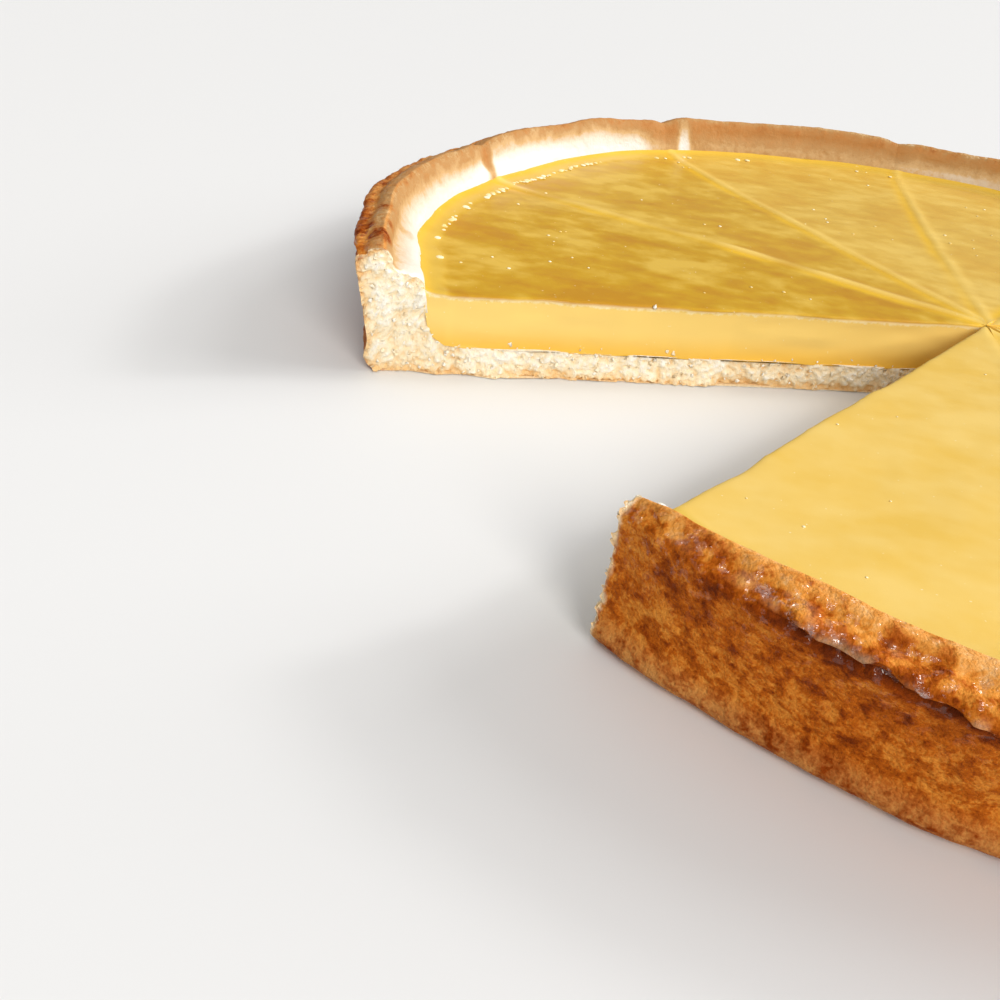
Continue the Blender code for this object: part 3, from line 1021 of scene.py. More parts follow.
def curd_skin(wedge, samples, walls):
    """The curd's skin: its points, its paint and its radii."""
    usual = walls.mean()
    reach_in = BAND_WIDTH + BAND_ROOM
    hub = np.linspace(0, 1, round((usual - reach_in - wedge.tip) / SKIN_STEP))
    band = np.linspace(reach_in, -CURD_OVERLAP, round(reach_in / BAND_STEP))[1:]
    usual_hub = wedge.tip + hub * (usual - reach_in - wedge.tip)
    shares = curd_shares(np.concatenate([usual_hub, usual - band]), wedge)
    wall = np.interp(wedge.angles(shares), samples, walls)
    radii = wall.copy()
    radii[:len(hub)] = wedge.tip + hub[:, None] * (wall[:len(hub)] - reach_in - wedge.tip)
    radii[len(hub):] -= band[:, None]
    skin = wedge.place(shares, np.stack([radii, radii * 0], axis=-1))
    skin[..., 2], marks = skin_height(skin, wall - radii, wedge)
    skin[-1, :, 2] = CURD_LEVEL + MENISCUS_RISE
    return skin, marks, radii


def curd_bed(wedge, samples, walls):
    """The curd's underside, a little inside the pastry: its (r, z) and its points."""
    shares = curd_shares(np.array([*wedge.base_radii, *[walls.mean()] * BED_RUNGS]), wedge)
    _, rungs = case_rungs(samples, wedge.base_radii)
    bed = np.array([
        np.stack([np.interp(angles, samples, values) for values in rung.T], axis=-1)
        for angles, rung in zip(wedge.angles(shares), rungs)
    ])
    bed[..., 1] -= CURD_OVERLAP / 2
    bed[len(wedge.base_radii):, :, 0] += CURD_OVERLAP
    return bed, wedge.place(shares, bed)


def build_curd(number, material):
    """One slice's curd, with its skin, its ridge and groove at the cuts and its open cut faces."""
    wedge = Slice(number)
    samples = np.linspace(wedge.start[0] - 1, wedge.end[0] + 1, WALL_SAMPLES)
    walls = waterline(samples)
    skin, marks, radii = curd_skin(wedge, samples, walls)
    bed, under = curd_bed(wedge, samples, walls)
    # how pale each slice's skin is painted: painted light on the near slices, painted shade on the
    # far ones
    tone = float(between(SKIN_LIGHT_TONES, np.array([(wedge.start[0] + wedge.end[0]) / 2]))[0])
    shell = Shell("rim", "ridge", "groove", "cut", "depth", "tone")
    skin_numbers = shell.add(skin, tone=tone, **marks)
    under_numbers = shell.add(under, tone=tone)
    skin_numbers[0] = skin_numbers[0, 0]
    under_numbers[0] = under_numbers[0, 0]
    shell.quads(skin_numbers)
    shell.quads(under_numbers[::-1])
    shell.quads(np.stack([under_numbers[-1], skin_numbers[-1]]))
    for is_open, station, cut, side in wedge.cut_faces():
        top = skin_numbers[:, station]
        bottom = under_numbers[:, station]
        if is_open:
            close_open_curd(shell, skin[:, station], top, bed[:, station], bottom, cut, side, tone)
        else:
            match = nearest_places(radii[:, station], bed[:, station, 0])
            match[-1] = len(top) - 1
            shell.bridge(list(top), list(bottom), match)
            shell.face(top[0], top[match[0]], bottom[0])
    return shell.build(f"curd_slice_{number}", material)


def close_open_curd(shell, edge, edge_numbers, bed, bed_numbers, cut, side, tone):
    """The smooth cut face of the curd, from its skin down to the pastry."""
    radii = np.hypot(edge[:, 0], edge[:, 1])
    floor = np.interp(radii, bed[:, 0], bed[:, 1])
    share = (np.arange(1, CURD_COLUMNS) / (CURD_COLUMNS - 1))[None, :]
    height = edge[:, 2:] * (1 - share) + floor[:, None] * share
    spread = np.broadcast_to(radii[:, None], height.shape)
    grid = on_cut_face(cut, side, np.stack([spread, height], axis=-1))
    drag = sum(deep * swell(grid * (1, 1, squeeze), size, seed)
               for deep, size, squeeze, seed in DRAG_MARKS)
    fade = np.minimum(1, share / DRAG_START)
    grid = grid + cut_normal(cut, side) * (drag * fade)[..., None]
    depth = (edge[:, 2:] - height) / (CURD_LEVEL - BASE_THICKNESS)
    numbers = shell.add(grid, cut=1.0, depth=depth, tone=tone)
    numbers[0] = bed_numbers[0]
    shell.quads(np.concatenate([edge_numbers[:, None], numbers], axis=1))
    bottom = list(numbers[:, -1])
    match = nearest_places(radii, bed[:, 0])
    match[0] = 0
    match[-1] = len(bottom) - 1
    shell.bridge(bottom, list(bed_numbers), match)
    for upper, lower in zip([edge_numbers[-1], *numbers[-1, :-1]], numbers[-1]):
        shell.face(upper, lower, bed_numbers[-1])


# ------------------------------------------------------------------ materials

def set_inputs(tree, node, inputs):
    """Set a node's inputs to values, or link them to sockets."""
    for name, value in inputs.items():
        socket = node.inputs[name]
        if isinstance(value, bpy.types.NodeSocket):
            tree.links.new(value, socket)
        else:
            socket.default_value = value


def add_node(tree, kind, inputs=None, **settings):
    """A node with its settings and inputs."""
    made = tree.nodes.new(kind)
    for name, value in settings.items():
        setattr(made, name, value)
    set_inputs(tree, made, inputs or {})
    return made


def reckon(tree, operation, *values):
    """The outcome of a math node on some values or sockets."""
    inputs = dict(enumerate(values))
    return add_node(tree, "ShaderNodeMath", inputs, operation=operation).outputs[0]


def times(tree, one, other):
    return reckon(tree, "MULTIPLY", one, other)


def sum_of(tree, *terms):
    """Adds (socket, weight, offset) terms: each socket less its offset, times its weight."""
    (first, weight, offset), *others = terms
    total = times(tree, reckon(tree, "SUBTRACT", first, offset), weight)
    for socket, weight, offset in others:
        centred = reckon(tree, "SUBTRACT", socket, offset)
        total = reckon(tree, "MULTIPLY_ADD", centred, weight, total)
    return total


def painted(tree, name):
    return add_node(tree, "ShaderNodeAttribute", attribute_name=name).outputs["Fac"]


def speckle(tree, place, scale, detail=3.0, roughness=0.55):
    """A noise field from 0 to 1 on the object's own coordinates; scale is per metre."""
    inputs = {"Vector": place, "Scale": scale, "Detail": detail, "Roughness": roughness}
    return add_node(tree, "ShaderNodeTexNoise", inputs).outputs["Fac"]


def reach(tree, socket, low, high, to_low=0.0, to_high=1.0):
    """Maps a socket from one range to another, eased and held at both ends."""
    inputs = {"Value": socket, "From Min": low, "From Max": high, "To Min": to_low,
              "To Max": to_high}
    return add_node(tree, "ShaderNodeMapRange", inputs,
                    interpolation_type="SMOOTHSTEP").outputs["Result"]


def shades(tree, factor, stops):
    """A colour ramp from (position, colour) stops."""
    made = add_node(tree, "ShaderNodeValToRGB", {"Fac": factor})
    ramp = made.color_ramp
    while len(ramp.elements) < len(stops):
        ramp.elements.new(1.0)
    for element, (position, colour) in zip(ramp.elements, stops):
        element.position = position
        element.color = (*colour, 1.0)
    return made.outputs["Color"]


def blend_colours(tree, factor, one, other):
    """Mix two colours, each a socket or three numbers."""
    first, second = (
        given if isinstance(given, bpy.types.NodeSocket) else (*given, 1.0)
        for given in (one, other)
    )
    inputs = {0: factor, 6: first, 7: second}
    return add_node(tree, "ShaderNodeMix", inputs, data_type="RGBA").outputs[2]


def bump(tree, height, strength, distance, normal=None):
    """A bump's normal; another normal may be given for it to stand on."""
    inputs = {"Height": height, "Strength": strength, "Distance": distance}
    if normal is not None:
        inputs["Normal"] = normal
    return add_node(tree, "ShaderNodeBump", inputs).outputs["Normal"]


def start_material(name):
    """A new material with its node tree, its shader and the object's own coordinates."""
    material = bpy.data.materials.new(name)
    material.use_nodes = True
    tree = material.node_tree
    shader = tree.nodes["Principled BSDF"]
    place = add_node(tree, "ShaderNodeTexCoord").outputs["Object"]
    return material, tree, shader, place


def noise_fields(tree, place, sizes):
    """Noise fields by their names."""
    return {name: speckle(tree, place, *size) for name, size in sizes.items()}


def crust_skin_colour(tree, settings, field, bake, calm):
    """Colour of the pastry's skin: mottled where it is glazed, evenly browned elsewhere."""
    blotches = reach(tree, field["blotches"], 0.46, 0.62)
    spots = reach(tree, field["spots"], 0.52, 0.64)
    patchy = sum_of(tree, (field["clouds"], 0.30, 0.5), (field["freckles"], 0.30, 0.5),
                    (field["grain"], 0.34, 0.5), (blotches, 0.16, 0.35), (spots, 0.13, 0.2))
    patchiness = times(tree, reach(tree, bake, 0.05, 0.35, 0.25, 1.0),
                       reach(tree, calm, 0.60, 0.95, 1.0, 0.25))
    level = reckon(tree, "MULTIPLY_ADD", patchy, patchiness, bake)
    mottled = shades(tree, level, (
        (0.08, settings.biscuit),
        (0.24, settings.pale_gold),
        (0.40, settings.golden),
        (0.60, settings.brown),
        (0.80, settings.dark),
        (1.00, settings.scorched),
    ))
    even = shades(tree, level, (
        (0.00, settings.white),
        (0.10, settings.cream),
        (0.21, settings.even_tan),
        (0.32, settings.even_gold),
        (0.52, settings.even_brown),
        (0.80, settings.dark),
        (1.00, settings.scorched),
    ))
    return blend_colours(tree, reach(tree, calm, 0.40, 0.68), mottled, even)


def crust_material(settings):
    """Shortcrust: browned skin, cream where pale, wet spots on the rim, white crumb in cuts."""
    material, tree, shader, place = start_material("shortcrust")
    bake = painted(tree, "bake")
    crumb = painted(tree, "crumb")
    gloss = painted(tree, "gloss")
    calm = painted(tree, "calm")
    field = noise_fields(tree, place, CRUST_FIELDS)
    skin = crust_skin_colour(tree, settings, field, bake, calm)
    # the toasted end also carries the painted shade of the crumb's hollows
    hollow = sum_of(tree, (bake, 1.0, 0.0), (field["pores"], -0.75, 0.5))
    inside = shades(tree, hollow, (
        (0.00, settings.fresh),
        (0.35, settings.crumb),
        (0.90, settings.toasted_and_hollow_shade),
    ))
    wet_spots = times(tree, gloss, reach(tree, field["wet"], 0.555, 0.61))
    wet_lip = times(tree, reach(tree, gloss, 1.05, 1.6), reach(tree, field["wet"], 0.50, 0.55))
    shine = sum_of(tree, (wet_spots, 0.9, 0.0), (wet_lip, 0.7, 0.0))
    dry = reach(tree, crumb, 0.2, 0.8)
    roughness = sum_of(tree, (dry, 0.22, 0.0), (shine, -0.20, 0.0), (field["freckles"], 0.2, 0.5))
    grainy = sum_of(tree, (field["grain"], 0.6, 0.5), (field["freckles"], 1.1, 0.5),
                    (field["spots"], 0.8, 0.5))
    grainy_normal = bump(tree, grainy, reach(tree, calm, 0.5, 1, 0.6, 0.25), 0.0006)
    wet_bumps = sum_of(tree, (field["spots"], 1.0, 0.5), (field["freckles"], 0.5, 0.5))
    set_inputs(tree, shader, {
        "Base Color": blend_colours(tree, crumb, skin, inside),
        "Roughness": reckon(tree, "ADD", roughness, 0.56),
        "Specular IOR Level": 0.05,
        "Normal": bump(tree, times(tree, crumb, field["pores"]), 0.25, 0.0004, grainy_normal),
        "Coat Weight": shine,
        "Coat Roughness": 0.10,
        "Coat IOR": 1.9,
        "Coat Normal": bump(tree, wet_bumps, 0.9, 0.0010),
    })
    return material


def curd_skin_colour(tree, settings, field):
    """Colour of the curd's skin, painted paler on lit slices and deeper on shaded ones, with its
    band at the wall and its ridges and grooves.
    """
    streaky = sum_of(tree, (field["clouds"], 2.0, 0.5), (field["streaks"], 1.1, 0.5),
                     (field["fine"], 0.35, 0.5))
    streaky = reckon(tree, "ADD", streaky, 0.5)
    # the skin's streaks in a shaded copy and a lit copy, blended by each slice's painted light
    shaded_skin = shades(tree, streaky, (
        (0.15, settings.deep),
        (0.50, settings.skin),
        (0.85, settings.light_skin),
    ))
    lit_skin = shades(tree, streaky, (
        (0.10, settings.warm_pale),
        (0.90, settings.pale),
    ))
    skin = blend_colours(tree, painted(tree, "tone"), shaded_skin, lit_skin)
    # painted light on the ridges and painted shade in the grooves; the band is the curd's own
    for name, strength, tint in (
        ("rim", 0.70, settings.band),
        ("groove", 0.80, settings.groove),
        ("ridge", 0.80, settings.ridge),
    ):
        skin = blend_colours(tree, times(tree, painted(tree, name), strength), skin, tint)
    return skin


def curd_material(settings):
    """Baked lemon curd: streaky golden skin, a paler band at the wall, smooth pale cut faces."""
    material, tree, shader, place = start_material("lemon curd")
    cut = painted(tree, "cut")
    depth = painted(tree, "depth")
    drawn = add_node(tree, "ShaderNodeMapping", {
        "Vector": place, "Scale": (1, DRAWN_SQUEEZE, 1), "Rotation": (0, 0, DRAWN_TURN)})
    field = noise_fields(tree, drawn.outputs[0], DRAWN_FIELDS)
    field.update(noise_fields(tree, place, CURD_FIELDS))
    skin = curd_skin_colour(tree, settings, field)
    inside = blend_colours(tree, reach(tree, depth, 0.45, 1.05), settings.inside,
                           settings.deep_inside)
    colour = blend_colours(tree, cut, skin, inside)
    ragged_depth = sum_of(tree, (depth, 1.0, 0.0), (field["ragged"], 0.16, 0.5))
    edge = times(tree, reach(tree, ragged_depth, 0.02, 0.09, 1.0, 0.0), cut)
    colour = blend_colours(tree, times(tree, edge, 0.9), colour, settings.edge)
    # painted highlights: pale specks where tiny bubbles glint
    bubble_glints = reach(tree, field["pores"], 0.76, 0.80, 0.0, 0.5)
    colour = blend_colours(tree, bubble_glints, colour, settings.edge)
    roughness = reach(tree, field["streaks"], 0.3, 0.7, settings.gloss, settings.gloss + 0.12)
    roughness = sum_of(tree, (roughness, 1.0, 0.0), (cut, 0.12, 0.0))
    set_inputs(tree, shader, {"Base Color": colour, "Roughness": roughness, "IOR": 1.42})
    return material


def crumb_material(settings):
    """Loose shortcrust crumbs, pale with a few golden ones."""
    material, tree, shader, place = start_material("crumbs")
    grain = speckle(tree, place, 1900, 3, 0.7)
    mixed = sum_of(tree, (painted(tree, "shade"), 0.8, 0.0), (grain, 0.5, 0.5))
    tint = shades(tree, mixed, (
        (0.20, settings.fresh),
        (0.60, settings.crumb),
        (1.00, settings.toasted_and_hollow_shade),
    ))
    set_inputs(tree, shader, {
        "Base Color": tint,
        "Roughness": reach(tree, grain, 0.2, 0.8, 0.7, 0.9),
        "Normal": bump(tree, grain, 0.2, 0.0003),
    })
    return material


def bead_material(settings):
    """Small blisters of curd: pale, wet and glossy; their whitest tints are partly painted
    highlight.
    """
    material, tree, shader, place = start_material("curd beads")
    grain = speckle(tree, place, 700, 2)
    mixed = sum_of(tree, (painted(tree, "shade"), 0.8, 0.0), (grain, 0.4, 0.5))
    # the pale edge tint is partly a painted highlight of the blisters
    tint = shades(tree, mixed, ((0.1, settings.bead), (0.7, settings.edge)))
    roughness = reach(tree, grain, 0.3, 0.7, 0.24, 0.34)
    set_inputs(tree, shader, {"Base Color": tint, "Roughness": roughness})
    return material


# ------------------------------------------------------------------ scattered bits

def scatter_tree(name, flatness, raggedness, leaning):
    """A node tree that strews small lumps over a guide mesh, more where its 'many' is high."""
    tree = bpy.data.node_groups.new(name, "GeometryNodeTree")
    sockets = tree.interface
    sockets.new_socket(name="Geometry", in_out="INPUT", socket_type="NodeSocketGeometry")
    for label, kind in (("Density", "NodeSocketFloat"), ("Smallest", "NodeSocketFloat"),
                        ("Largest", "NodeSocketFloat"), ("Seed", "NodeSocketInt"),
                        ("Material", "NodeSocketMaterial")):
        sockets.new_socket(name=label, in_out="INPUT", socket_type=kind)
    sockets.new_socket(name="Geometry", in_out="OUTPUT", socket_type="NodeSocketGeometry")
    given = tree.nodes.new("NodeGroupInput").outputs
    many = add_node(tree, "GeometryNodeInputNamedAttribute", {"Name": "many"}, data_type="FLOAT")
    density = times(tree, given["Density"], many.outputs["Attribute"])
    spots = add_node(tree, "GeometryNodeDistributePointsOnFaces",
                     {"Mesh": given["Geometry"], "Density": density, "Seed": given["Seed"]})
    lump = add_node(tree, "GeometryNodeMeshUVSphere",
                    {"Segments": BIT_SEGMENTS, "Rings": BIT_RINGS, "Radius": 1.0})
    draw = add_node(tree, "FunctionNodeRandomValue", {"Seed": given["Seed"]}, data_type="FLOAT")
    crowd = reckon(tree, "POWER", draw.outputs[1], leaning)
    size = add_node(tree, "ShaderNodeMapRange", {
        "Value": crowd, "To Min": given["Smallest"], "To Max": given["Largest"]})
    shape = add_node(tree, "ShaderNodeCombineXYZ",
                     {"X": size.outputs["Result"], "Y": size.outputs["Result"],
                      "Z": times(tree, size.outputs["Result"], flatness)})
    turn = add_node(tree, "FunctionNodeRandomValue", {"Seed": given["Seed"]},
                    data_type="FLOAT_VECTOR")
    turn.inputs[1].default_value = (6.28, 6.28, 6.28) if raggedness else (0, 0, 6.28)
    placed = add_node(tree, "GeometryNodeInstanceOnPoints",
                      {"Points": spots.outputs["Points"], "Instance": lump.outputs["Mesh"],
                       "Rotation": turn.outputs[0], "Scale": shape.outputs[0]})
    tint = add_node(tree, "FunctionNodeRandomValue", {"Seed": TINT_SEED}, data_type="FLOAT")
    shaded = add_node(tree, "GeometryNodeStoreNamedAttribute",
                      {"Geometry": placed.outputs["Instances"], "Name": "shade",
                       "Value": tint.outputs[1]}, data_type="FLOAT", domain="INSTANCE")
    whole = add_node(tree, "GeometryNodeRealizeInstances", {"Geometry": shaded.outputs[0]})
    where = add_node(tree, "GeometryNodeInputPosition").outputs[0]
    field = add_node(tree, "ShaderNodeTexNoise",
                     {"Vector": where, "Scale": RAGGED_SCALE, "Detail": 1.0})
    centred = add_node(tree, "ShaderNodeVectorMath",
                       {0: field.outputs["Color"], 1: (0.5, 0.5, 0.5)}, operation="SUBTRACT")
    offset = add_node(tree, "ShaderNodeVectorMath", {0: centred.outputs[0], "Scale": raggedness},
                      operation="SCALE")
    ragged = add_node(tree, "GeometryNodeSetPosition",
                      {"Geometry": whole.outputs[0], "Offset": offset.outputs[0]})
    smooth = add_node(tree, "GeometryNodeSetShadeSmooth", {"Geometry": ragged.outputs[0]})
    done = add_node(tree, "GeometryNodeSetMaterial",
                    {"Geometry": smooth.outputs[0], "Material": given["Material"]})
    add_node(tree, "NodeGroupOutput", {"Geometry": done.outputs[0]})
    return tree


def strew(name, guide, tree, material, density, sizes, seed):
    """Run a scatter tree on a guide mesh and keep the result as a plain mesh."""
    smallest, largest = sizes
    carrier = add_object(name + "_guide", guide)
    modifier = carrier.modifiers.new("scatter", "NODES")
    modifier.node_group = tree
    wanted = {"Density": density, "Smallest": smallest, "Largest": largest, "Seed": seed,
              "Material": material}
    for item in tree.interface.items_tree:
        if item.in_out == "INPUT" and item.name in wanted:
            modifier[item.identifier] = wanted[item.name]
    evaluated = carrier.evaluated_get(bpy.context.evaluated_depsgraph_get())
    mesh = bpy.data.meshes.new_from_object(evaluated)
    carrier.modifiers.clear()
    bpy.data.objects.remove(carrier)
    mesh.name = name
    return add_object(name, mesh)


def guide_mesh(name, grids):
    """One mesh of several grids; each is points (row, column, xyz) and its 'many' values."""
    points, faces, many = [], [], []
    for grid, weight in grids:
        first = len(points)
        rows, columns = grid.shape[:2]
        points += grid.reshape(-1, 3).tolist()
        many += np.broadcast_to(weight, (rows, columns)).reshape(-1).tolist()
        for row in range(rows - 1):
            for column in range(columns - 1):
                corner = first + row * columns + column
                faces.append((corner, corner + 1, corner + columns + 1, corner + columns))
    mesh = bpy.data.meshes.new(name)
    mesh.from_pydata(points, [], faces)
    mesh.attributes.new("many", "FLOAT", "POINT").data.foreach_set("value", many)
    return mesh


def cut_guides():
    """Where crumbs cling on the two open cuts: the pastry, and the curd close above it."""
    grids = []
    for cut, side in zip(OPEN_CUTS, (1, -1)):
        proud = cut_normal(cut, side) * CRUMB_PROUD
        base_radii = np.linspace(*CRUMB_BASE_RADII)
        outer, inner = case_rungs(np.array([cut[0]]), base_radii)
        share = np.linspace(0.04, 0.96, 6)[None, :, None]
        pastry = outer * (1 - share) + inner * share
        pastry[..., 1] = np.maximum(pastry[..., 1], CRUMB_FLOOR)
        grids.append((on_cut_face(cut, side, pastry) + proud, CRUMBS_ON_PASTRY))
        top = inner[:len(base_radii) + BED_RUNGS]
        climb = np.linspace(0, 1, 8)[None, :] ** 2
        height = top[..., 1] + (CURD_LEVEL - top[..., 1]) * climb
        curd = np.stack([np.broadcast_to(top[..., 0], height.shape), height], axis=-1)
        near_pastry = bell(height - top[..., 1], CRUMB_SPREAD)
        crowd = CRUMBS_BY_PASTRY * near_pastry + CRUMBS_ON_CURD
        grids.append((on_cut_face(cut, side, curd) + proud, crowd))
    return grids


def ring_guide(inner_gap, outer_gap, lift, weight):
    """A strip of the curd's skin along the wall, between two distances from the pale band."""
    angles = np.linspace(CUTS[0][0] + STRIP_END, CUTS[-1][0] - STRIP_END, STRIP_SAMPLES)
    wall = waterline(angles)
    lines = max(3, round((outer_gap - inner_gap) / STRIP_STEP))
    gaps = np.linspace(inner_gap, outer_gap, lines)
    radii = wall[:, None] - band_width(angles)[:, None] - gaps[None, :]
    grid = from_polar(radii, np.radians(angles)[:, None], 0 * radii)
    grid[..., 2] = open_skin(grid) + lift
    return grid, weight(angles)[:, None] * np.ones_like(radii)


def bead_crowd(angles):
    """Beads stand in clusters along the band."""
    clusters = soft_step(swell(rim_points(angles), CLUSTER_SIZE, seed=77), -0.3, 0.4)
    return between(BEAD_CROWDS, angles) * clusters


# ------------------------------------------------------------------ settings

def amount(name, description, default, **more):
    return bpy.props.FloatProperty(name=name, description=description, default=default,
                                   min=0.0, **more)


def length(name, description, default):
    return amount(name, description, default, unit="LENGTH", precision=5)


def colour(name, description, default):
    return bpy.props.FloatVectorProperty(name=name, description=description, default=default,
                                         subtype="COLOR", size=3, min=0.0, max=1.0)


class TartCrustSettings(bpy.types.PropertyGroup):
    """Sizes and colours of the pastry"""

    crag_depth: length("Crag depth", "Depth of the crumb on the open cut faces", 0.0011)
    white: colour("White", "Pastry that stayed white", (0.77, 0.765, 0.76))
    cream: colour("Cream", "Pastry that hardly coloured", (0.74, 0.68, 0.59))
    biscuit: colour("Biscuit", "The palest pastry outside", (0.88, 0.52, 0.22))
    pale_gold: colour("Pale gold", "Lightly coloured pastry", (0.84, 0.38, 0.095))
    golden: colour("Golden", "Golden pastry", (0.76, 0.285, 0.040))
    brown: colour("Brown", "Well browned pastry", (0.48, 0.112, 0.006))
    # dark is reached mostly in the painted shade under the lip
    dark: colour("Dark", "Dark pastry under the lip", (0.25, 0.042, 0.001))
    scorched: colour("Scorched", "Dark spots of the crest", (0.13, 0.020, 0.002))
    even_tan: colour("Even tan", "Light pastry where it is evenly browned", (0.60, 0.39, 0.185))
    even_gold: colour("Even gold", "Golden pastry where it is evenly browned", (0.47, 0.26, 0.10))
    even_brown: colour("Even brown", "Brown pastry where it is evenly browned", (0.47, 0.21, 0.063))
    fresh: colour("Fresh crumb", "The whitest inside of the pastry", (0.98, 0.93, 0.82))
    crumb: colour("Crumb", "The inside of the pastry", (0.97, 0.84, 0.60))
    # toasted also paints the shade in the crumb's hollows
    toasted_and_hollow_shade: colour("Toasted crumb", "The hollows of the inside", (0.90, 0.60, 0.28))


class TartCurdSettings(bpy.types.PropertyGroup):
    """Colours and gloss of the filling"""

    deep: colour("Deep", "Deep gold patches of the skin", (0.51, 0.24, 0.002))
    skin: colour("Skin", "Usual colour of the skin", (0.565, 0.315, 0.005))
    light_skin: colour("Light skin", "Light streaks of the skin", (0.69, 0.44, 0.055))
    # warm pale and pale make the skin's lit copy: painted light
    warm_pale: colour("Warm pale", "The warmer tone of the pale skin", (0.77, 0.495, 0.085))
    pale: colour("Pale", "The palest skin", (0.80, 0.555, 0.145))
    band: colour("Band", "The band along the wall", (0.69, 0.45, 0.060))
    # the groove's deep yellow is painted shade and the ridge's pale yellow painted light
    groove: colour("Groove", "The knife's groove", (0.80, 0.47, 0.010))
    ridge: colour("Ridge", "The curd pushed up beside a cut", (0.87, 0.61, 0.15))
    inside: colour("Inside", "The cut curd", (0.91, 0.64, 0.18))
    deep_inside: colour("Deep inside", "The cut curd by the pastry", (0.88, 0.51, 0.06))
    edge: colour("Edge", "The thin white line along a cut's edge", (0.95, 0.88, 0.62))
    bead: colour("Bead", "The yellowest blisters", (0.86, 0.66, 0.26))
    gloss: amount("Roughness", "Roughness of the skin", 0.29, max=1.0, subtype="FACTOR")


class TartBitsSettings(bpy.types.PropertyGroup):
    """Crumbs on the cuts, blisters along the wall and pinhead bubbles on the skin"""

    crumb_small: length("Smallest crumb", "Radius of the smallest crumbs", 0.00010)
    crumb_large: length("Largest crumb", "Radius of the largest crumbs", 0.00042)
    bead_small: length("Smallest bead", "Radius of the smallest blisters", 0.00035)
    bead_large: length("Largest bead", "Radius of the largest blisters", 0.0009)
    pin_small: length("Smallest bubble", "Radius of the smallest bubbles", 0.00012)
    pin_large: length("Largest bubble", "Radius of the largest bubbles", 0.00040)
    crumbs: amount("Crumbs", "Crumbs per square metre of cut", 700000.0)
    beads: amount("Beads", "Blisters per square metre of band", 900000.0)
    pins: amount("Bubbles", "Bubbles per square metre of skin", 4500.0)


class TartStageSettings(bpy.types.PropertyGroup):
    """Floor and lights"""

    floor: colour("Floor", "Colour of the floor", (0.74, 0.74, 0.74))
    window: amount("Window", "Strength of the window light", 1.8)
    glint: amount("Glint", "Strength of the window's middle", 0.7)
    overhead: amount("Overhead", "Strength of the light above", 0.80)
    fill: amount("Fill", "Strength of the light in front", 1.85)
    front_glint: amount("Front glint", "Strength of the small light in front", 0.25)
    room: amount("Room", "Brightness of the room", 0.22)


# ------------------------------------------------------------------ operators

def keep(piece, slot, *nodes):
    """Hang a finished piece on the body it rides on, and hide the frame's parts it replaces."""
    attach(piece, BODY)
    if nodes:
        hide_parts(*nodes)


class TART_OT_crust(bpy.types.Operator):
    """Make each slice's pastry"""

    bl_idname = "tart.crust"
    bl_label = "Crust"

    def execute(self, context):
        settings = context.scene.tart_crust
        material = crust_material(settings)
        for number in range(1, SLICES + 1):
            piece = build_crust(number, material, settings.crag_depth)
            keep(piece, CRUST_SLOT, f"crust_{number}")
        return {"FINISHED"}


class TART_OT_filling(bpy.types.Operator):
    """Make each slice's lemon curd"""

    bl_idname = "tart.filling"
    bl_label = "Filling"

    def execute(self, context):
        material = curd_material(context.scene.tart_curd)
        for number in range(1, SLICES + 1):
            keep(build_curd(number, material), CURD_SLOT, f"filling_{number}")
        return {"FINISHED"}


class TART_OT_crumbs(bpy.types.Operator):
    """Strew crumbs over the open cuts"""

    bl_idname = "tart.crumbs"
    bl_label = "Crumbs"

    def execute(self, context):
        bits = context.scene.tart_bits
        material = crumb_material(context.scene.tart_crust)
        tree = scatter_tree("crumbs", flatness=0.8, raggedness=0.0013, leaning=2.2)
        guide = guide_mesh("cut guides", cut_guides())
        sizes = (bits.crumb_small, bits.crumb_large)
        keep(strew("crumbs", guide, tree, material, bits.crumbs, sizes, seed=3), CRUST_SLOT)
        return {"FINISHED"}


class TART_OT_bubbles(bpy.types.Operator):
    """Set blisters along the wall and pinhead bubbles on the curd's skin"""

    bl_idname = "tart.bubbles"
    bl_label = "Bubbles"

    def execute(self, context):
        bits = context.scene.tart_bits
        material = bead_material(context.scene.tart_curd)
        tree = scatter_tree("beads", flatness=0.32, raggedness=0.0, leaning=1.3)
        band = guide_mesh("band guide", [ring_guide(*BLISTER_STRIP, bead_crowd)])
        sizes = (bits.bead_small, bits.bead_large)
        keep(strew("curd_blisters", band, tree, material, bits.beads, sizes, seed=5), CURD_SLOT)
        skin = guide_mesh("skin guide", [ring_guide(*BUBBLE_STRIP, np.ones_like)])
        sizes = (bits.pin_small, bits.pin_large)
        keep(strew("curd_bubbles", skin, tree, material, bits.pins, sizes, seed=8), CURD_SLOT)
        return {"FINISHED"}


def photo_camera():
    """The camera that took the photograph, worked out from the rim, the cuts and the foot."""
    right = Vector((1, 0, 0))
    ahead = Vector((0, math.cos(PHOTO_PITCH), -math.sin(PHOTO_PITCH)))
    above = Vector((0, math.sin(PHOTO_PITCH), math.cos(PHOTO_PITCH)))
    side = math.cos(PHOTO_ROLL) * right + math.sin(PHOTO_ROLL) * above
    top = -math.sin(PHOTO_ROLL) * right + math.cos(PHOTO_ROLL) * above
    lens = bpy.data.cameras.new("photo camera")
    lens.sensor_width = PHOTO_SENSOR
    lens.lens = PHOTO_LENS
    lens.clip_start = 0.01
    camera = add_object("photo camera", lens)
    turn = Matrix((side, top, -ahead)).transposed().to_4x4()
    camera.matrix_world = Matrix.Translation(PHOTO_PLACE) @ turn
    bpy.context.scene.camera = camera


def soft_light(name, strength, toward, spread, tint):
    """A broad, far light that stands in the given direction from the tart."""
    lamp = bpy.data.lights.new(name, "SUN")
    lamp.energy = strength
    lamp.angle = math.radians(spread)
    lamp.color = tint
    light = add_object(name, lamp)
    light.rotation_euler = (-Vector(toward)).to_track_quat("-Z", "Y").to_euler()


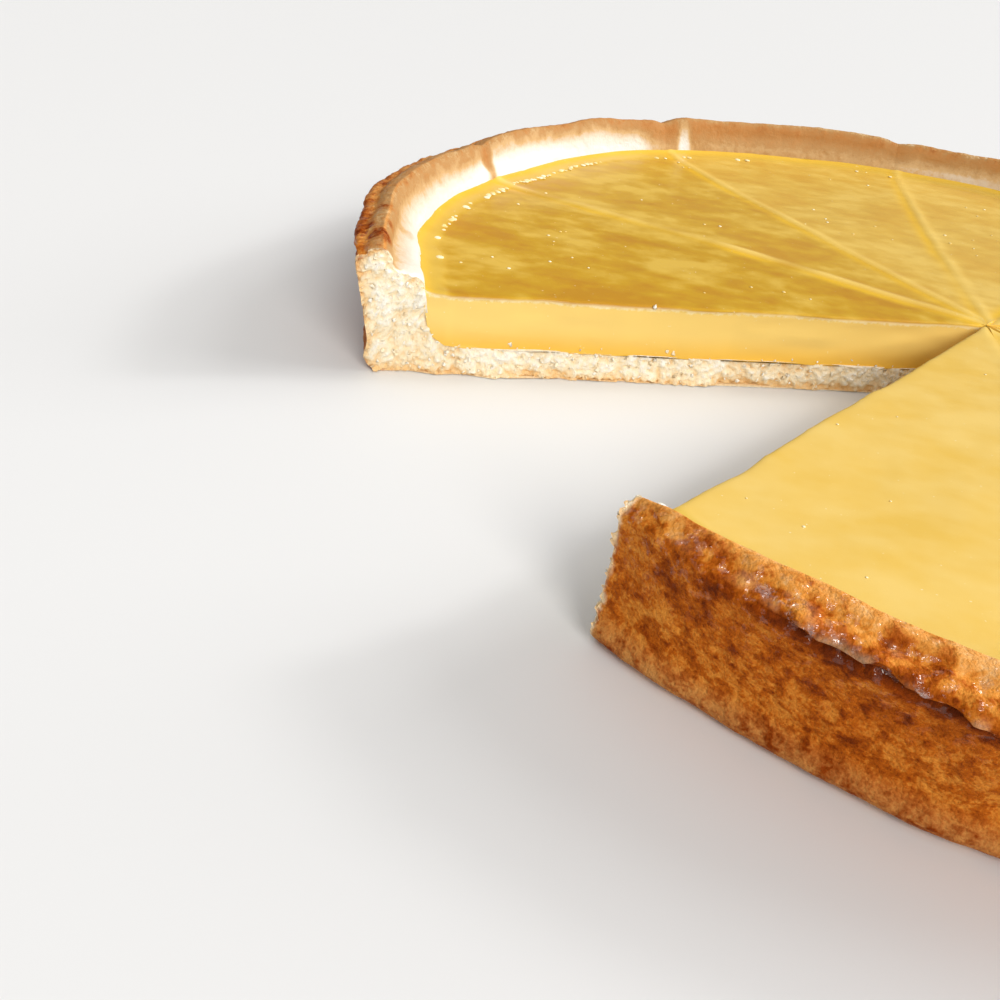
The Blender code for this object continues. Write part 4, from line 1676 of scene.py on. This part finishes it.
def lay_floor(paint):
    """A wide floor just under the tart."""
    corners = [(x * FLOOR_REACH, y * FLOOR_REACH, FLOOR_LEVEL)
               for x, y in ((-1, -1), (1, -1), (1, 1), (-1, 1))]
    mesh = bpy.data.meshes.new("floor")
    mesh.from_pydata(corners, [], [(0, 1, 2, 3)])
    floor = add_object("floor", mesh)
    material = bpy.data.materials.new("floor")
    material.use_nodes = True
    tree = material.node_tree
    set_inputs(tree, tree.nodes["Principled BSDF"],
               {"Base Color": (*paint, 1), "Roughness": FLOOR_ROUGHNESS})
    mesh.materials.append(material)


def light_room(strength):
    """An even white light from all round."""
    world = bpy.data.worlds.new("studio")
    world.use_nodes = True
    background = world.node_tree.nodes["Background"]
    set_inputs(world.node_tree, background, {"Color": (*WHITE, 1), "Strength": strength})
    bpy.context.scene.world = world


class TART_OT_stage(bpy.types.Operator):
    """Lay the floor, hang the lights and place the camera"""

    bl_idname = "tart.stage"
    bl_label = "Stage"

    def execute(self, context):
        settings = context.scene.tart_stage
        lay_floor(settings.floor)
        light_room(settings.room)
        for name, strength, toward, spread, tint in LIGHTS:
            soft_light(name, getattr(settings, strength), toward, spread, tint)
        context.scene.view_settings.view_transform = "Standard"
        photo_camera()
        return {"FINISHED"}


class TART_PT_panel(bpy.types.Panel):
    """Buttons for every piece of the tart"""

    bl_idname = "TART_PT_panel"
    bl_label = "Lemon tart"
    bl_space_type = "VIEW_3D"
    bl_region_type = "UI"
    bl_category = "Tart"

    def draw(self, context):
        for operator in OPERATORS:
            self.layout.operator(operator.bl_idname)


OPERATORS = (TART_OT_crust, TART_OT_filling, TART_OT_crumbs, TART_OT_bubbles, TART_OT_stage)
SETTINGS = {
    "tart_crust": TartCrustSettings,
    "tart_curd": TartCurdSettings,
    "tart_bits": TartBitsSettings,
    "tart_stage": TartStageSettings,
}
CLASSES = (*SETTINGS.values(), *OPERATORS, TART_PT_panel)


def register():
    for item in CLASSES:
        bpy.utils.register_class(item)
    for name, group in SETTINGS.items():
        setattr(bpy.types.Scene, name, bpy.props.PointerProperty(type=group))


def unregister():
    for name in SETTINGS:
        delattr(bpy.types.Scene, name)
    for item in reversed(CLASSES):
        bpy.utils.unregister_class(item)


def main():
    register()
    bpy.ops.tart.crust()
    bpy.ops.tart.filling()
    bpy.ops.tart.crumbs()
    bpy.ops.tart.bubbles()
    bpy.ops.tart.stage()


if __name__ == "__main__":
    main()
